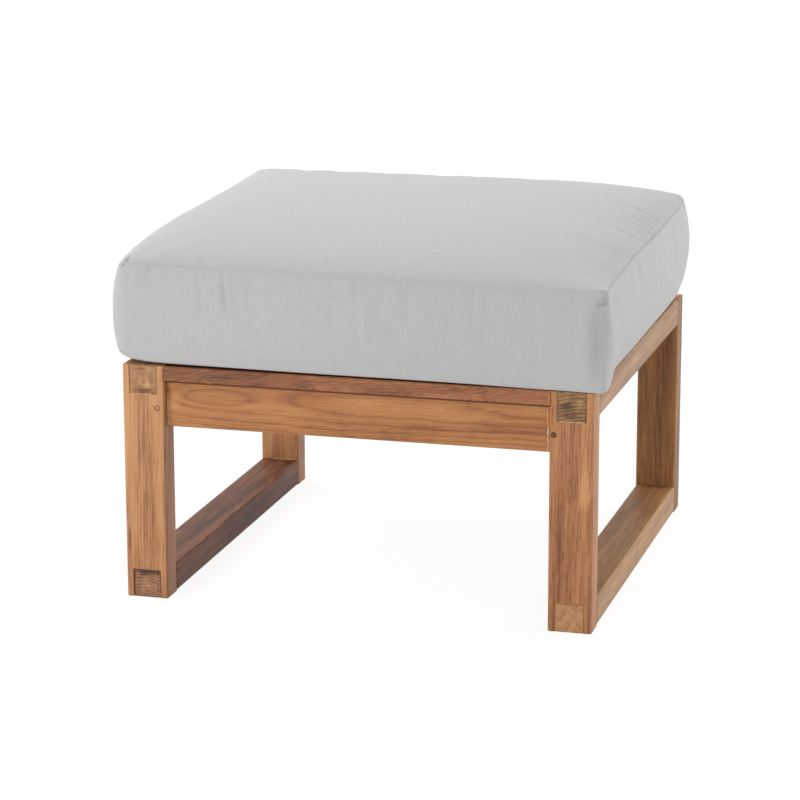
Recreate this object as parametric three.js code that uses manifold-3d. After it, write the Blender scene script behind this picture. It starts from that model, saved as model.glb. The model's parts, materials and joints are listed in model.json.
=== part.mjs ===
// Outdoor ottoman footstool: a teak frame with two side loops, a slatted deck and a loose box cushion.
// Millimetres, +Z up, the front looks along -Y. The origin is on the ground under the middle of the frame.
import * as THREE from "three";
import { mergeVertices } from "three/addons/utils/BufferGeometryUtils.js";
import Module from "manifold-3d";

const wasm = await Module();
wasm.setup();

// Frame
const frameWidth = 660;
const frameDepth = 650;
const frameHeight = 332;
const memberWidth = 60; // posts and side rails, seen from the front
const memberThickness = 40; // posts and side rails, seen from the side
const arrisEase = 2.5;
const glueGap = 0.15; // all round a glued or seated joint
const cutOverrun = 5;

// Open bridle joints between the posts and the side rails
const railTenonWidth = 40;
const leftTenonSetBack = 1.5; // the lower left tenon stops short of the front

// Aprons, their stub tenons and the pegs that lock them
const apronHeight = 65;
const apronThickness = 22;
const apronRecess = 12;
const apronTenonThickness = 12;
const apronTenonLength = 30;
const apronTenonHeight = 34;
const apronTenonLift = 6; // lower shoulder
const pegDiameter = 8;
const pegLength = 34;
const leftPegInset = 10; // from the post's inner face
const rightPegInset = 6;
const pegLift = 28; // above the apron's lower edge

// Deck
const slatThickness = 22;
const slatWidth = 60;
const slatCount = 6; // between the front and the rear slat
const cleatWidth = 20;
const cleatHeight = 25;
const cleatScrewDrop = 9; // below the cleat's top
const cleatScrewCount = 3;

// Countersunk wood screws
const screwHeadDiameter = 8;
const screwShankDiameter = 4;
const screwHeadHeight = 3;
const screwPointLength = 4;
const screwLength = 40;
const cleatScrewLength = 34;
const screwSink = 0.5;
const screwSides = 8;
const pegSides = 12;

// Cushion
const cushionSideOverhang = 15; // past the frame at the left and the right
const cushionEndOverhang = 7; // past the frame at the front and the back
const cushionBulge = 11; // how far the boxing swells past the seams
const cushionCornerRadius = 22;
const cushionBow = 2; // how far the middle of each side swells past its ends
const cushionSeatGap = 0.3;
const cushionRimInset = 20; // from the lower seam to the flat underside
const lowerSeamHeight = 7;
const lowerRearRise = 7; // the lower seam is higher at the back
const upperSeamHeight = 142.5;
const upperRearRise = 23; // the upper seam is higher at the back
const upperLeftRise = 9; // and at the left
const cornerLift = 5; // the upper seam is drawn up at the corners
const endSeamArch = 4.5; // and in the middle of the front and the back
const sideSeamArch = 2; // and in the middle of the left and the right
const crownHeight = 31; // in the middle of the top panel
const coverThickness = 1.5;
const coreGap = 0.3;

// Zip in the rear boxing
const zipEndInset = 65; // from the cushion's sides
const zipTapeWidth = 26;
const zipTapeThickness = 1.2;
const zipDepth = 5; // from the boxing's furthest swell to the tape
const zipGap = 0.3;
const zipHeight = 76; // above the cushion's underside
const chainWidth = 6;
const chainThickness = 0.8;
const sliderLength = 10;
const sliderWidth = 12;
const sliderThickness = 2.6;
const sliderGap = 0.15;
const sliderEndMargin = 6;
const pullLength = 24;
const pullWidth = 7;
const pullThickness = 1;

// Finishes
const teakHoney = new THREE.MeshStandardMaterial({ color: 0xb5825a, roughness: 0.62, metalness: 0 });
const teakRed = new THREE.MeshStandardMaterial({ color: 0xa06a4e, roughness: 0.62, metalness: 0 });
const teakPale = new THREE.MeshStandardMaterial({ color: 0xbc9a78, roughness: 0.66, metalness: 0 });
const teakPeg = new THREE.MeshStandardMaterial({ color: 0x7a5236, roughness: 0.7, metalness: 0 });
const greyFabric = new THREE.MeshStandardMaterial({ color: 0xc6c6c6, roughness: 0.95, metalness: 0 });
const foam = new THREE.MeshStandardMaterial({ color: 0xe8dfc2, roughness: 0.9, metalness: 0 });
const zipTape = new THREE.MeshStandardMaterial({ color: 0xa9aaab, roughness: 0.85, metalness: 0 });
const nickel = new THREE.MeshStandardMaterial({ color: 0xb9b7b0, roughness: 0.3, metalness: 1 });
const stainless = new THREE.MeshStandardMaterial({ color: 0xa8a8a6, roughness: 0.35, metalness: 1 });

// Derived places
const innerHalfWidth = frameWidth / 2 - memberWidth;
const innerHalfDepth = frameDepth / 2 - memberThickness;
const postX = frameWidth / 2 - memberWidth / 2;
const postY = frameDepth / 2 - memberThickness / 2;
const deckUnderside = frameHeight - slatThickness;
const apronTop = deckUnderside - glueGap;
const apronBottom = apronTop - apronHeight;
const apronY = frameDepth / 2 - apronRecess - apronThickness / 2;
const pegZ = apronBottom + pegLift;
const cleatX = innerHalfWidth - glueGap - cleatWidth / 2;
const cleatTop = deckUnderside - glueGap;
const cleatHalfLength = apronY - apronThickness / 2 - glueGap;
const cleatScrewZ = cleatTop - cleatScrewDrop;
const edgeSlatY = frameDepth / 2 - slatWidth / 2;
const edgeSlatScrewY = (frameDepth / 2 - slatWidth + cleatHalfLength) / 2;
const slatField = frameDepth - slatWidth * 2;
const slatPitch = (slatField + slatWidth) / (slatCount + 1);
const cushionWidth = frameWidth + cushionSideOverhang * 2;
const cushionDepth = frameDepth + cushionEndOverhang * 2;
const zipLength = cushionWidth - zipEndInset * 2;
const sideName = { "-1": "left", 1: "right" };
const endName = { "-1": "front", 1: "rear" };

// Solids
function solidOf(geometry) {
  const bare = geometry.clone();
  bare.deleteAttribute("normal");
  bare.deleteAttribute("uv");
  const merged = mergeVertices(bare);
  const vertProperties = new Float32Array(merged.getAttribute("position").array);
  const triVerts = new Uint32Array(merged.index.array);
  return new wasm.Manifold(new wasm.Mesh({ numProp: 3, vertProperties, triVerts }));
}

function geometryOf(solid) {
  const mesh = solid.getMesh();
  const geometry = new THREE.BufferGeometry();
  geometry.setAttribute("position", new THREE.BufferAttribute(mesh.vertProperties, 3));
  geometry.setIndex(new THREE.BufferAttribute(mesh.triVerts, 1));
  geometry.computeVertexNormals();
  return geometry;
}

function cut(geometry, cutters) {
  const left = cutters.reduce((solid, cutter) => solid.subtract(solidOf(cutter)), solidOf(geometry));
  return geometryOf(left);
}

function join(geometry, others) {
  const whole = others.reduce((solid, other) => solid.add(solidOf(other)), solidOf(geometry));
  return geometryOf(whole);
}

// A plain block between two corners.
function block([x0, y0, z0], [x1, y1, z1]) {
  const geometry = new THREE.BoxGeometry(x1 - x0, y1 - y0, z1 - z0);
  return geometry.translate((x0 + x1) / 2, (y0 + y1) / 2, (z0 + z1) / 2);
}

// A board with eased arrises, centred on the origin, its length along X, Y or Z.
function board(length, width, height, along) {
  const halfWidth = width / 2;
  const halfHeight = height / 2;
  const section = new THREE.Shape();
  section.moveTo(-halfWidth + arrisEase, -halfHeight);
  section.lineTo(halfWidth - arrisEase, -halfHeight);
  section.lineTo(halfWidth, -halfHeight + arrisEase);
  section.lineTo(halfWidth, halfHeight - arrisEase);
  section.lineTo(halfWidth - arrisEase, halfHeight);
  section.lineTo(-halfWidth + arrisEase, halfHeight);
  section.lineTo(-halfWidth, halfHeight - arrisEase);
  section.lineTo(-halfWidth, -halfHeight + arrisEase);
  section.closePath();
  const geometry = new THREE.ExtrudeGeometry(section, { depth: length, bevelEnabled: false });
  geometry.translate(0, 0, -length / 2);
  const [x, y, z] = [new THREE.Vector3(1, 0, 0), new THREE.Vector3(0, 1, 0), new THREE.Vector3(0, 0, 1)];
  const basis = new THREE.Matrix4();
  if (along === "x") basis.makeBasis(y, z, x);
  if (along === "y") basis.makeBasis(x.negate(), z, y);
  return geometry.applyMatrix4(basis);
}

// A screw with its head's top at the origin, pointing down -Y. A clearance turns it into its own hole.
function screwGeometry(length, clearance) {
  const head = screwHeadDiameter / 2 + clearance;
  const shank = screwShankDiameter / 2 + clearance;
  const top = clearance > 0 ? screwSink + cutOverrun : 0;
  const profile = [
    new THREE.Vector2(0, -length - clearance),
    new THREE.Vector2(shank, -length + screwPointLength),
    new THREE.Vector2(shank, -screwHeadHeight - clearance),
    new THREE.Vector2(head, -clearance),
    new THREE.Vector2(head, top),
    new THREE.Vector2(0, top),
  ];
  const outline = clearance > 0 ? profile : profile.filter((point, index) => index !== 4);
  return new THREE.LatheGeometry(outline, screwSides);
}

const upright = new THREE.Euler(Math.PI / 2, 0, 0);
const headTowards = { "-1": new THREE.Euler(0, 0, Math.PI / 2), 1: new THREE.Euler(0, 0, -Math.PI / 2) };

function screwHole(length, x, y, z, turn) {
  const hole = screwGeometry(length, glueGap);
  hole.applyMatrix4(new THREE.Matrix4().makeRotationFromEuler(turn));
  return hole.translate(x, y, z);
}

function pegHole(x, y, z, length) {
  return new THREE.CylinderGeometry(pegDiameter / 2 + glueGap, pegDiameter / 2 + glueGap, length, pegSides)
    .translate(x, y, z);
}

// Frame pieces
const pegInset = { "-1": leftPegInset, 1: rightPegInset };
const pegX = (side) => side * (innerHalfWidth + pegInset[side]);
const cleatScrewPlaces = Array.from(
  { length: cleatScrewCount },
  (_, index) => (index - (cleatScrewCount - 1) / 2) * slatPitch * 2,
);
const slatPlaces = Array.from(
  { length: slatCount },
  (_, index) => (index - (slatCount - 1) / 2) * slatPitch,
);

// Origin at the middle of the post's foot.
function postGeometry(side, end) {
  const slotHalf = railTenonWidth / 2 + glueGap;
  const slotReach = memberThickness / 2 + cutOverrun;
  const upperSlot = block(
    [-slotHalf, -slotReach, frameHeight - memberThickness - glueGap],
    [slotHalf, slotReach, frameHeight + cutOverrun],
  );
  const lowerSlot = block(
    [-slotHalf, -slotReach, -cutOverrun],
    [slotHalf, slotReach, memberThickness + glueGap],
  );
  const mortiseY = end * (apronY - postY);
  const mortiseHalf = apronTenonThickness / 2 + glueGap;
  const mortiseBottom = apronBottom + apronTenonLift - glueGap;
  const mortiseFloor = -side * (memberWidth / 2 - apronTenonLength - glueGap);
  const mortiseTop = mortiseBottom + apronTenonHeight + glueGap * 2;
  const mortiseMouth = -side * (memberWidth / 2 + cutOverrun);
  const mortise = block(
    [Math.min(mortiseFloor, mortiseMouth), mortiseY - mortiseHalf, mortiseBottom],
    [Math.max(mortiseFloor, mortiseMouth), mortiseY + mortiseHalf, mortiseTop],
  );
  const bore = (pegLength + cutOverrun) / 2;
  const boreY = end * (memberThickness / 2 + cutOverrun - bore);
  const peg = pegHole(pegX(side) - side * postX, boreY, pegZ, bore * 2 + glueGap * 2);
  const blank = board(frameHeight, memberWidth, memberThickness, "z").translate(0, 0, frameHeight / 2);
  return cut(blank, [upperSlot, lowerSlot, mortise, peg]);
}

// Origin at the middle of the rail's underside.
function sideRailGeometry(side, carriesCleat, frontSetBack) {
  const shoulder = innerHalfDepth - glueGap;
  const blank = board(shoulder * 2, memberWidth, memberThickness, "y").translate(0, 0, memberThickness / 2);
  const tenons = block(
    [-railTenonWidth / 2, -frameDepth / 2 + frontSetBack, 0],
    [railTenonWidth / 2, frameDepth / 2, memberThickness],
  );
  const rail = join(blank, [tenons]);
  if (!carriesCleat) return rail;
  const railBottom = frameHeight - memberThickness;
  const headX = side * (cleatX - cleatWidth / 2 + screwSink - postX);
  const holes = cleatScrewPlaces.map((y) =>
    screwHole(cleatScrewLength, headX, y, cleatScrewZ - railBottom, headTowards[-side]),
  );
  return cut(rail, holes);
}

// Origin at the middle of the apron's lower edge.
function apronGeometry() {
  const shoulder = innerHalfWidth - glueGap;
  const blank = board(shoulder * 2, apronThickness, apronHeight, "x").translate(0, 0, apronHeight / 2);
  const tenons = block(
    [-innerHalfWidth - apronTenonLength, -apronTenonThickness / 2, apronTenonLift],
    [innerHalfWidth + apronTenonLength, apronTenonThickness / 2, apronTenonLift + apronTenonHeight],
  );
  const pegs = [-1, 1].map((side) => pegHole(pegX(side), 0, pegLift, apronThickness + cutOverrun));
  const screwTop = frameHeight - screwSink - apronBottom;
  const screw = screwHole(screwLength, 0, 0, screwTop, upright);
  return cut(join(blank, [tenons]), [...pegs, screw]);
}

// Origin at the middle of the slat's underside. Holes lie at the given places, [x, y].
function slatGeometry(holes) {
  const blank = board(innerHalfWidth * 2 - glueGap * 2, slatWidth, slatThickness, "x");
  blank.translate(0, 0, slatThickness / 2);
  const screwTop = slatThickness - screwSink;
  return cut(blank, holes.map(([x, y]) => screwHole(screwLength, x, y, screwTop, upright)));
}

// Origin at the middle of the cleat's top.
function cleatGeometry(side) {
  const blank = board(cleatHalfLength * 2, cleatWidth, cleatHeight, "y").translate(0, 0, -cleatHeight / 2);
  const screwTop = frameHeight - screwSink - cleatTop;
  const deckHoles = [-edgeSlatScrewY, ...slatPlaces, edgeSlatScrewY].map((y) =>
    screwHole(screwLength, 0, y, screwTop, upright),
  );
  const headX = side * (screwSink - cleatWidth / 2);
  const railHoles = cleatScrewPlaces.map((y) =>
    screwHole(cleatScrewLength, headX, y, -cleatScrewDrop, headTowards[-side]),
  );
  return cut(blank, [...deckHoles, ...railHoles]);
}

// Adds a named mesh to a group at a place.
function add(group, name, geometry, material, x, y, z) {
  const mesh = new THREE.Mesh(geometry, material);
  mesh.name = name;
  mesh.position.set(x, y, z);
  group.add(mesh);
  return mesh;
}

function addScrew(group, name, length, x, y, z, turn) {
  const mesh = add(group, name, screwGeometry(length, 0), stainless, x, y, z);
  mesh.rotation.copy(turn);
}

function buildSideLoops(group) {
  for (const side of [-1, 1]) {
    for (const end of [-1, 1]) {
      const post = `${sideName[side]}_${endName[end]}_post`;
      add(group, post, postGeometry(side, end), teakHoney, side * postX, end * postY, 0);
      const peg = `${sideName[side]}_${endName[end]}_peg`;
      const pin = new THREE.CylinderGeometry(pegDiameter / 2, pegDiameter / 2, pegLength, pegSides);
      add(group, peg, pin, teakPeg, pegX(side), end * (frameDepth / 2 - pegLength / 2), pegZ);
    }
    const railX = side * postX;
    const railBottom = frameHeight - memberThickness;
    const setBack = side < 0 ? leftTenonSetBack : 0;
    const upperRail = sideRailGeometry(side, true, 0);
    const lowerRail = sideRailGeometry(side, false, setBack);
    add(group, `${sideName[side]}_top_rail`, upperRail, teakPale, railX, 0, railBottom);
    add(group, `${sideName[side]}_bottom_rail`, lowerRail, teakPale, railX, 0, 0);
  }
}

function buildDeck(group) {
  for (const side of [-1, 1]) {
    const cleat = `${sideName[side]}_cleat`;
    add(group, cleat, cleatGeometry(side), teakRed, side * cleatX, 0, cleatTop);
    cleatScrewPlaces.forEach((y, index) => {
      const headX = side * (cleatX - cleatWidth / 2 + screwSink);
      const screw = `${cleat}_screw_${index + 1}`;
      addScrew(group, screw, cleatScrewLength, headX, y, cleatScrewZ, headTowards[-side]);
    });
  }
  for (const end of [-1, 1]) {
    const name = endName[end];
    add(group, `${name}_apron`, apronGeometry(), teakHoney, 0, end * apronY, apronBottom);
    const places = [-1, 0, 1].map((side) => [side * cleatX, side ? end * edgeSlatScrewY : end * apronY]);
    const holes = places.map(([x, y]) => [x, y - end * edgeSlatY]);
    add(group, `${name}_slat`, slatGeometry(holes), teakRed, 0, end * edgeSlatY, deckUnderside);
    places.forEach(([x, y], index) => {
      const screw = `${name}_slat_screw_${["left", "middle", "right"][index]}`;
      addScrew(group, screw, screwLength, x, y, frameHeight - screwSink, upright);
    });
  }
  slatPlaces.forEach((y, index) => {
    const name = `slat_${index + 1}`;
    const holes = [[-cleatX, 0], [cleatX, 0]];
    add(group, name, slatGeometry(holes), teakHoney, 0, y, deckUnderside);
    for (const side of [-1, 1]) {
      const screw = `${name}_screw_${sideName[side]}`;
      addScrew(group, screw, screwLength, side * cleatX, y, frameHeight - screwSink, upright);
    }
  });
}

// Cushion
const cornerSteps = 3;
const sideSteps = 6;
const boxingSteps = 6;
const bulgePower = 0.8;
const cornerPower = 4;
const crownPower = { left: 7, right: 4.5, front: 4.6, rear: 4.2 }; // the higher, the fuller at that side
const crownEdgePower = 0.72; // below 1, so that the crown rises steeply from the seams
const crownLeanShares = { right: 0.26, rear: -0.14, rearRight: 0.26, sides: 0.25, ends: -0.11 };
const crownShares = [0.012, 0.035, 0.075, 0.14, 0.24, 0.4, 0.65];

// A rounded rectangle, anticlockwise from above, its sides bowed outwards, in closer steps near the corners.
function outline(halfX, halfY, radius, bow) {
  const corners = [[1, -1], [1, 1], [-1, 1], [-1, -1]];
  const points = [];
  corners.forEach(([signX, signY], corner) => {
    const centreX = signX * (halfX - radius);
    const centreY = signY * (halfY - radius);
    const start = (corner - 1) * Math.PI / 2;
    for (let step = 0; step <= cornerSteps; step += 1) {
      const angle = start + (step / cornerSteps) * Math.PI / 2;
      points.push(new THREE.Vector2(centreX + radius * Math.cos(angle), centreY + radius * Math.sin(angle)));
    }
    const from = points[points.length - 1];
    const outward = new THREE.Vector2(Math.cos(start + Math.PI / 2), Math.sin(start + Math.PI / 2));
    const run = 2 * (corner % 2 === 0 ? halfY : halfX) - 2 * radius;
    const ahead = new THREE.Vector2(-outward.y, outward.x);
    for (let step = 1; step < sideSteps; step += 1) {
      const share = (1 - Math.cos(Math.PI * step / sideSteps)) / 2;
      const point = from.clone().addScaledVector(ahead, run * share);
      points.push(point.addScaledVector(outward, bow * Math.sin(Math.PI * share)));
    }
  });
  return points;
}

// The stuffed form, drawn in all round by an inset. Its underside is at zero height.
function cushionForm(inset) {
  const halfX = cushionWidth / 2 - cushionBulge - cushionBow - inset;
  const halfY = cushionDepth / 2 - cushionBulge - cushionBow - inset;
  const radius = cushionCornerRadius - inset;
  const shareOf = (length, half) => Math.max(-1, Math.min(length / half, 1));
  const lowSeamHeight = (point) => lowerSeamHeight + inset + (lowerRearRise / 2) * shareOf(point.y, halfY);
  const seamHeight = (point) => {
    const [u, v] = [shareOf(point.x, halfX), shareOf(point.y, halfY)];
    const tilt = (upperRearRise / 2) * v - (upperLeftRise / 2) * u;
    const arch = endSeamArch * (1 - u * u) * v * v + sideSeamArch * (1 - v * v) * u * u;
    return upperSeamHeight - inset + tilt + arch + cornerLift * Math.abs(u * v) ** cornerPower;
  };
  const rings = [];
  const addRing = (points, heightAt) => {
    rings.push(points.map((point) => new THREE.Vector3(point.x, point.y, heightAt(point))));
  };
  const rimHalfX = halfX - cushionRimInset;
  const rimHalfY = halfY - cushionRimInset;
  addRing(outline(rimHalfX, rimHalfY, radius, cushionBow), () => inset);
  for (let step = 0; step <= boxingSteps; step += 1) {
    const share = step / boxingSteps;
    const swell = cushionBulge * Math.sin(Math.PI * share) ** bulgePower;
    const points = outline(halfX + swell, halfY + swell, radius + swell, cushionBow);
    addRing(points, (point) => lowSeamHeight(point) * (1 - share) + seamHeight(point) * share);
  }
  const crownAt = (point) => {
    const [u, v] = [shareOf(point.x, halfX), shareOf(point.y, halfY)];
    const across = 1 - Math.abs(u) ** (u < 0 ? crownPower.left : crownPower.right);
    const back = 1 - Math.abs(v) ** (v < 0 ? crownPower.front : crownPower.rear);
    const { right, rear, rearRight, sides, ends } = crownLeanShares;
    const lean = 1 + right * u + rear * v + rearRight * u * v + sides * u * u + ends * v * v;
    return crownHeight * lean * (across * back) ** crownEdgePower;
  };
  for (const share of crownShares) {
    const keep = 1 - share;
    const points = outline(halfX * keep, halfY * keep, radius * keep, cushionBow * keep);
    addRing(points, (point) => seamHeight(point) + crownAt(point));
  }
  const top = new THREE.Vector3(0, 0, upperSeamHeight - inset + crownHeight);
  const bottom = new THREE.Vector3(0, 0, inset);
  const around = rings[0].length;
  const positions = [...rings.flat(), bottom, top].flatMap((point) => point.toArray());
  const bottomIndex = rings.length * around;
  const topIndex = bottomIndex + 1;
  const lastRing = (rings.length - 1) * around;
  const index = [];
  for (let column = 0; column < around; column += 1) {
    const next = (column + 1) % around;
    for (let ring = 0; ring < rings.length - 1; ring += 1) {
      const lower = ring * around;
      const upper = lower + around;
      index.push(lower + column, lower + next, upper + next);
      index.push(lower + column, upper + next, upper + column);
    }
    index.push(bottomIndex, next, column);
    index.push(topIndex, lastRing + column, lastRing + next);
  }
  const geometry = new THREE.BufferGeometry();
  geometry.setAttribute("position", new THREE.Float32BufferAttribute(positions, 3));
  geometry.setIndex(index);
  return geometry;
}

const zipFace = cushionDepth / 2 - zipDepth;
const zipBack = zipFace - zipTapeThickness;

// The room for the zip in the rear boxing, from a depth to outside the cushion.
function zipRoom(fromY) {
  const halfLength = zipLength / 2 + zipGap;
  const halfWidth = zipTapeWidth / 2 + zipGap;
  return block(
    [-halfLength, fromY, zipHeight - halfWidth],
    [halfLength, cushionDepth / 2 + cutOverrun, zipHeight + halfWidth],
  );
}

// The tape with its raised chain. Origin at the middle of the tape's outer face.
function zipGeometry() {
  const tape = block(
    [-zipLength / 2, -zipTapeThickness, -zipTapeWidth / 2],
    [zipLength / 2, 0, zipTapeWidth / 2],
  );
  const chain = block(
    [-zipLength / 2, -zipTapeThickness / 2, -chainWidth / 2],
    [zipLength / 2, chainThickness, chainWidth / 2],
  );
  return join(tape, [chain]);
}

// The slider straddles the chain, and its pull lies along it. Origin on the tape's outer face.
function sliderGeometry() {
  const body = block(
    [-sliderLength / 2, sliderGap, -sliderWidth / 2],
    [sliderLength / 2, sliderThickness, sliderWidth / 2],
  );
  const channel = block(
    [-sliderLength / 2 - cutOverrun, -cutOverrun, -chainWidth / 2 - sliderGap],
    [sliderLength / 2 + cutOverrun, chainThickness + sliderGap, chainWidth / 2 + sliderGap],
  );
  const pull = block(
    [0, sliderThickness - pullThickness / 2, -pullWidth / 2],
    [pullLength, sliderThickness + pullThickness / 2, pullWidth / 2],
  );
  return join(cut(body, [channel]), [pull]);
}

function buildCushion(group) {
  const cushion = new THREE.Group();
  cushion.position.z = frameHeight + cushionSeatGap;
  group.add(cushion);
  const inside = cushionForm(coverThickness);
  const cover = cut(cushionForm(0), [inside, zipRoom(zipBack - cushionBulge)]);
  const core = cut(cushionForm(coverThickness + coreGap), [zipRoom(zipBack - zipGap)]);
  add(cushion, "cushion_cover", cover, greyFabric, 0, 0, 0);
  add(cushion, "cushion_core", core, foam, 0, 0, 0);
  add(cushion, "cover_zip", zipGeometry(), zipTape, 0, zipFace, zipHeight);
  const sliderX = -zipLength / 2 + sliderEndMargin + sliderLength / 2;
  add(cushion, "zip_slider", sliderGeometry(), nickel, sliderX, zipFace, zipHeight);
}

const ottoman = new THREE.Group();
buildSideLoops(ottoman);
buildDeck(ottoman);
buildCushion(ottoman);

export default ottoman;
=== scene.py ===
import json
import math
import random

import bpy
import numpy as np
from mathutils import Euler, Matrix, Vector
from mathutils.bvhtree import BVHTree

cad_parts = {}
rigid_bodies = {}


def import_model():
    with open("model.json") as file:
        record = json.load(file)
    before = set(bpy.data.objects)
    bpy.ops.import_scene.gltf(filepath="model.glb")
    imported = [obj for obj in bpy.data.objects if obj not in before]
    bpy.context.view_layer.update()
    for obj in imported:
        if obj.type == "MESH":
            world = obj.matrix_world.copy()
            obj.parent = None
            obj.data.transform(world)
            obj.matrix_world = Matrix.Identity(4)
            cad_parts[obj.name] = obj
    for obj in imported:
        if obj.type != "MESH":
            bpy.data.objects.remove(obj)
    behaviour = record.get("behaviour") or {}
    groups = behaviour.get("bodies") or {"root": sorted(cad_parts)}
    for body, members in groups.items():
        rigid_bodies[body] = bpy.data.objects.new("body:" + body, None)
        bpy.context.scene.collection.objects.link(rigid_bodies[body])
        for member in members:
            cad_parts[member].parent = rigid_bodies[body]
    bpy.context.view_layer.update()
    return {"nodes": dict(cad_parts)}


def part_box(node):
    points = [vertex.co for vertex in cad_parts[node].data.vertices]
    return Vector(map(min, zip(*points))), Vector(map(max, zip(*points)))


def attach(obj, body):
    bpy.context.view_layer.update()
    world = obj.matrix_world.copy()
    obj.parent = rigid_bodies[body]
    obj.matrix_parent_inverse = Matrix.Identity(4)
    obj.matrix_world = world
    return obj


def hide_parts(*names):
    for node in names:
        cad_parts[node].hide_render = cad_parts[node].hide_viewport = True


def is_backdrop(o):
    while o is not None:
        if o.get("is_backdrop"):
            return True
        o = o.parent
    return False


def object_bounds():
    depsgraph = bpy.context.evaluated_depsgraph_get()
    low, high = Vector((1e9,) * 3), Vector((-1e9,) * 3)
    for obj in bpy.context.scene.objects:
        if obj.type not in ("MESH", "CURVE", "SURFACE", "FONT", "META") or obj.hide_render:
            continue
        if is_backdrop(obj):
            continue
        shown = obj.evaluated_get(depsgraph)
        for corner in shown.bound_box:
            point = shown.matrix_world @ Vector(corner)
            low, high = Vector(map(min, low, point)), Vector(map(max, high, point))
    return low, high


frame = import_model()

draw = random.Random(11)


# Nodes
def linear(colour):
    """An sRGB hex colour as linear RGBA."""
    parts = [int(colour[i : i + 2], 16) / 255 for i in (1, 3, 5)]
    return [c / 12.92 if c <= 0.04045 else ((c + 0.055) / 1.055) ** 2.4 for c in parts] + [1.0]


def feed(tree, socket, value):
    """Sets a socket to a value, or links to it an output or a node's first output."""
    if isinstance(value, bpy.types.Node):
        value = value.outputs[0]
    if isinstance(value, bpy.types.NodeSocket):
        tree.links.new(value, socket)
    else:
        socket.default_value = value


def add_node(tree, kind, inputs=None, **settings):
    """Adds a shader node. An input is a value, or a node or an output that feeds it."""
    made = tree.nodes.new("ShaderNode" + kind)
    for name, value in settings.items():
        if name == "stops":
            ramp = made.color_ramp
            while len(ramp.elements) < len(value):
                ramp.elements.new(0.5)
            for element, (place, colour) in zip(ramp.elements, value):
                element.position = place
                element.color = linear(colour)
        else:
            setattr(made, name, value)
    for name, value in (inputs or {}).items():
        feed(tree, made.inputs[name], value)
    return made


def flecks(tree, place, size, detail):
    """Soft flecks that have a real size in metres along each axis."""
    run = add_node(tree, "VectorMath", {0: place, 1: [1 / length for length in size]}, operation="MULTIPLY")
    return add_node(tree, "TexNoise", {"Vector": run, "Scale": 1.0, "Detail": detail})


def start_material(name):
    """A new material and its node tree."""
    material = bpy.data.materials.new(name)
    material.use_nodes = True
    return material, material.node_tree


def finish_material(material, colour, height, relief, constants):
    """Feeds the shader. The relief is how strong and how deep, in metres, the bumps are."""
    tree = material.node_tree
    shader = tree.nodes["Principled BSDF"]
    bump = add_node(tree, "Bump", {"Strength": relief[0], "Distance": relief[1], "Height": height})
    for name, value in {"Base Color": colour, "Normal": bump, **constants}.items():
        feed(tree, shader.inputs[name], value)
    return material


# Teak
# Plantation teak: rings 3 to 5 mm apart, pores as fine dark dashes along the grain. Sizes are along and across.
WAVE = 0.314  # the scale at which a wave texture repeats once a metre
FIBRE = (0.12, 0.0015)  # real fibres are 0.3 mm wide, so they are drawn wider to show
BAND = (0.6, 0.02)
CLOUD = (0.09, 0.03)
PORE = (0.018, 0.001)
SAWN_PORE = (0.0011, 0.0011)
PORE_RANGE = (0.56, 0.68)
WANDER = 0.014  # how far the grain strays
SAWN_WANDER = 0.006
DRIFT = (3.5, 9, 9)  # how fast it strays along and across the board
SAWN_GRAINS = (((0.0012, 0.0012), 2.0, 0.8), ((0.008, 0.008), 2.0, 0.8))
RING_TONES = [(0.0, "#404040"), (0.06, "#b4b4b4"), (0.35, "#ffffff"), (0.88, "#d6d6d6"), (1.0, "#909090")]


def figure_share(tree, centre, size):
    """1 at the middle of a knot or a patch, falling to 0 at its edge."""
    where = add_node(tree, "TexCoord").outputs["Object"]
    off = add_node(tree, "VectorMath", {0: where, 1: centre}, operation="SUBTRACT")
    scaled = add_node(tree, "VectorMath", {0: off, 1: size}, operation="DIVIDE")
    away = add_node(tree, "VectorMath", {0: scaled}, operation="LENGTH").outputs["Value"]
    inputs = {"Value": away, "From Min": 1.0, "From Max": 0.0}
    return add_node(tree, "MapRange", inputs, interpolation_type="SMOOTHSTEP")


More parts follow.
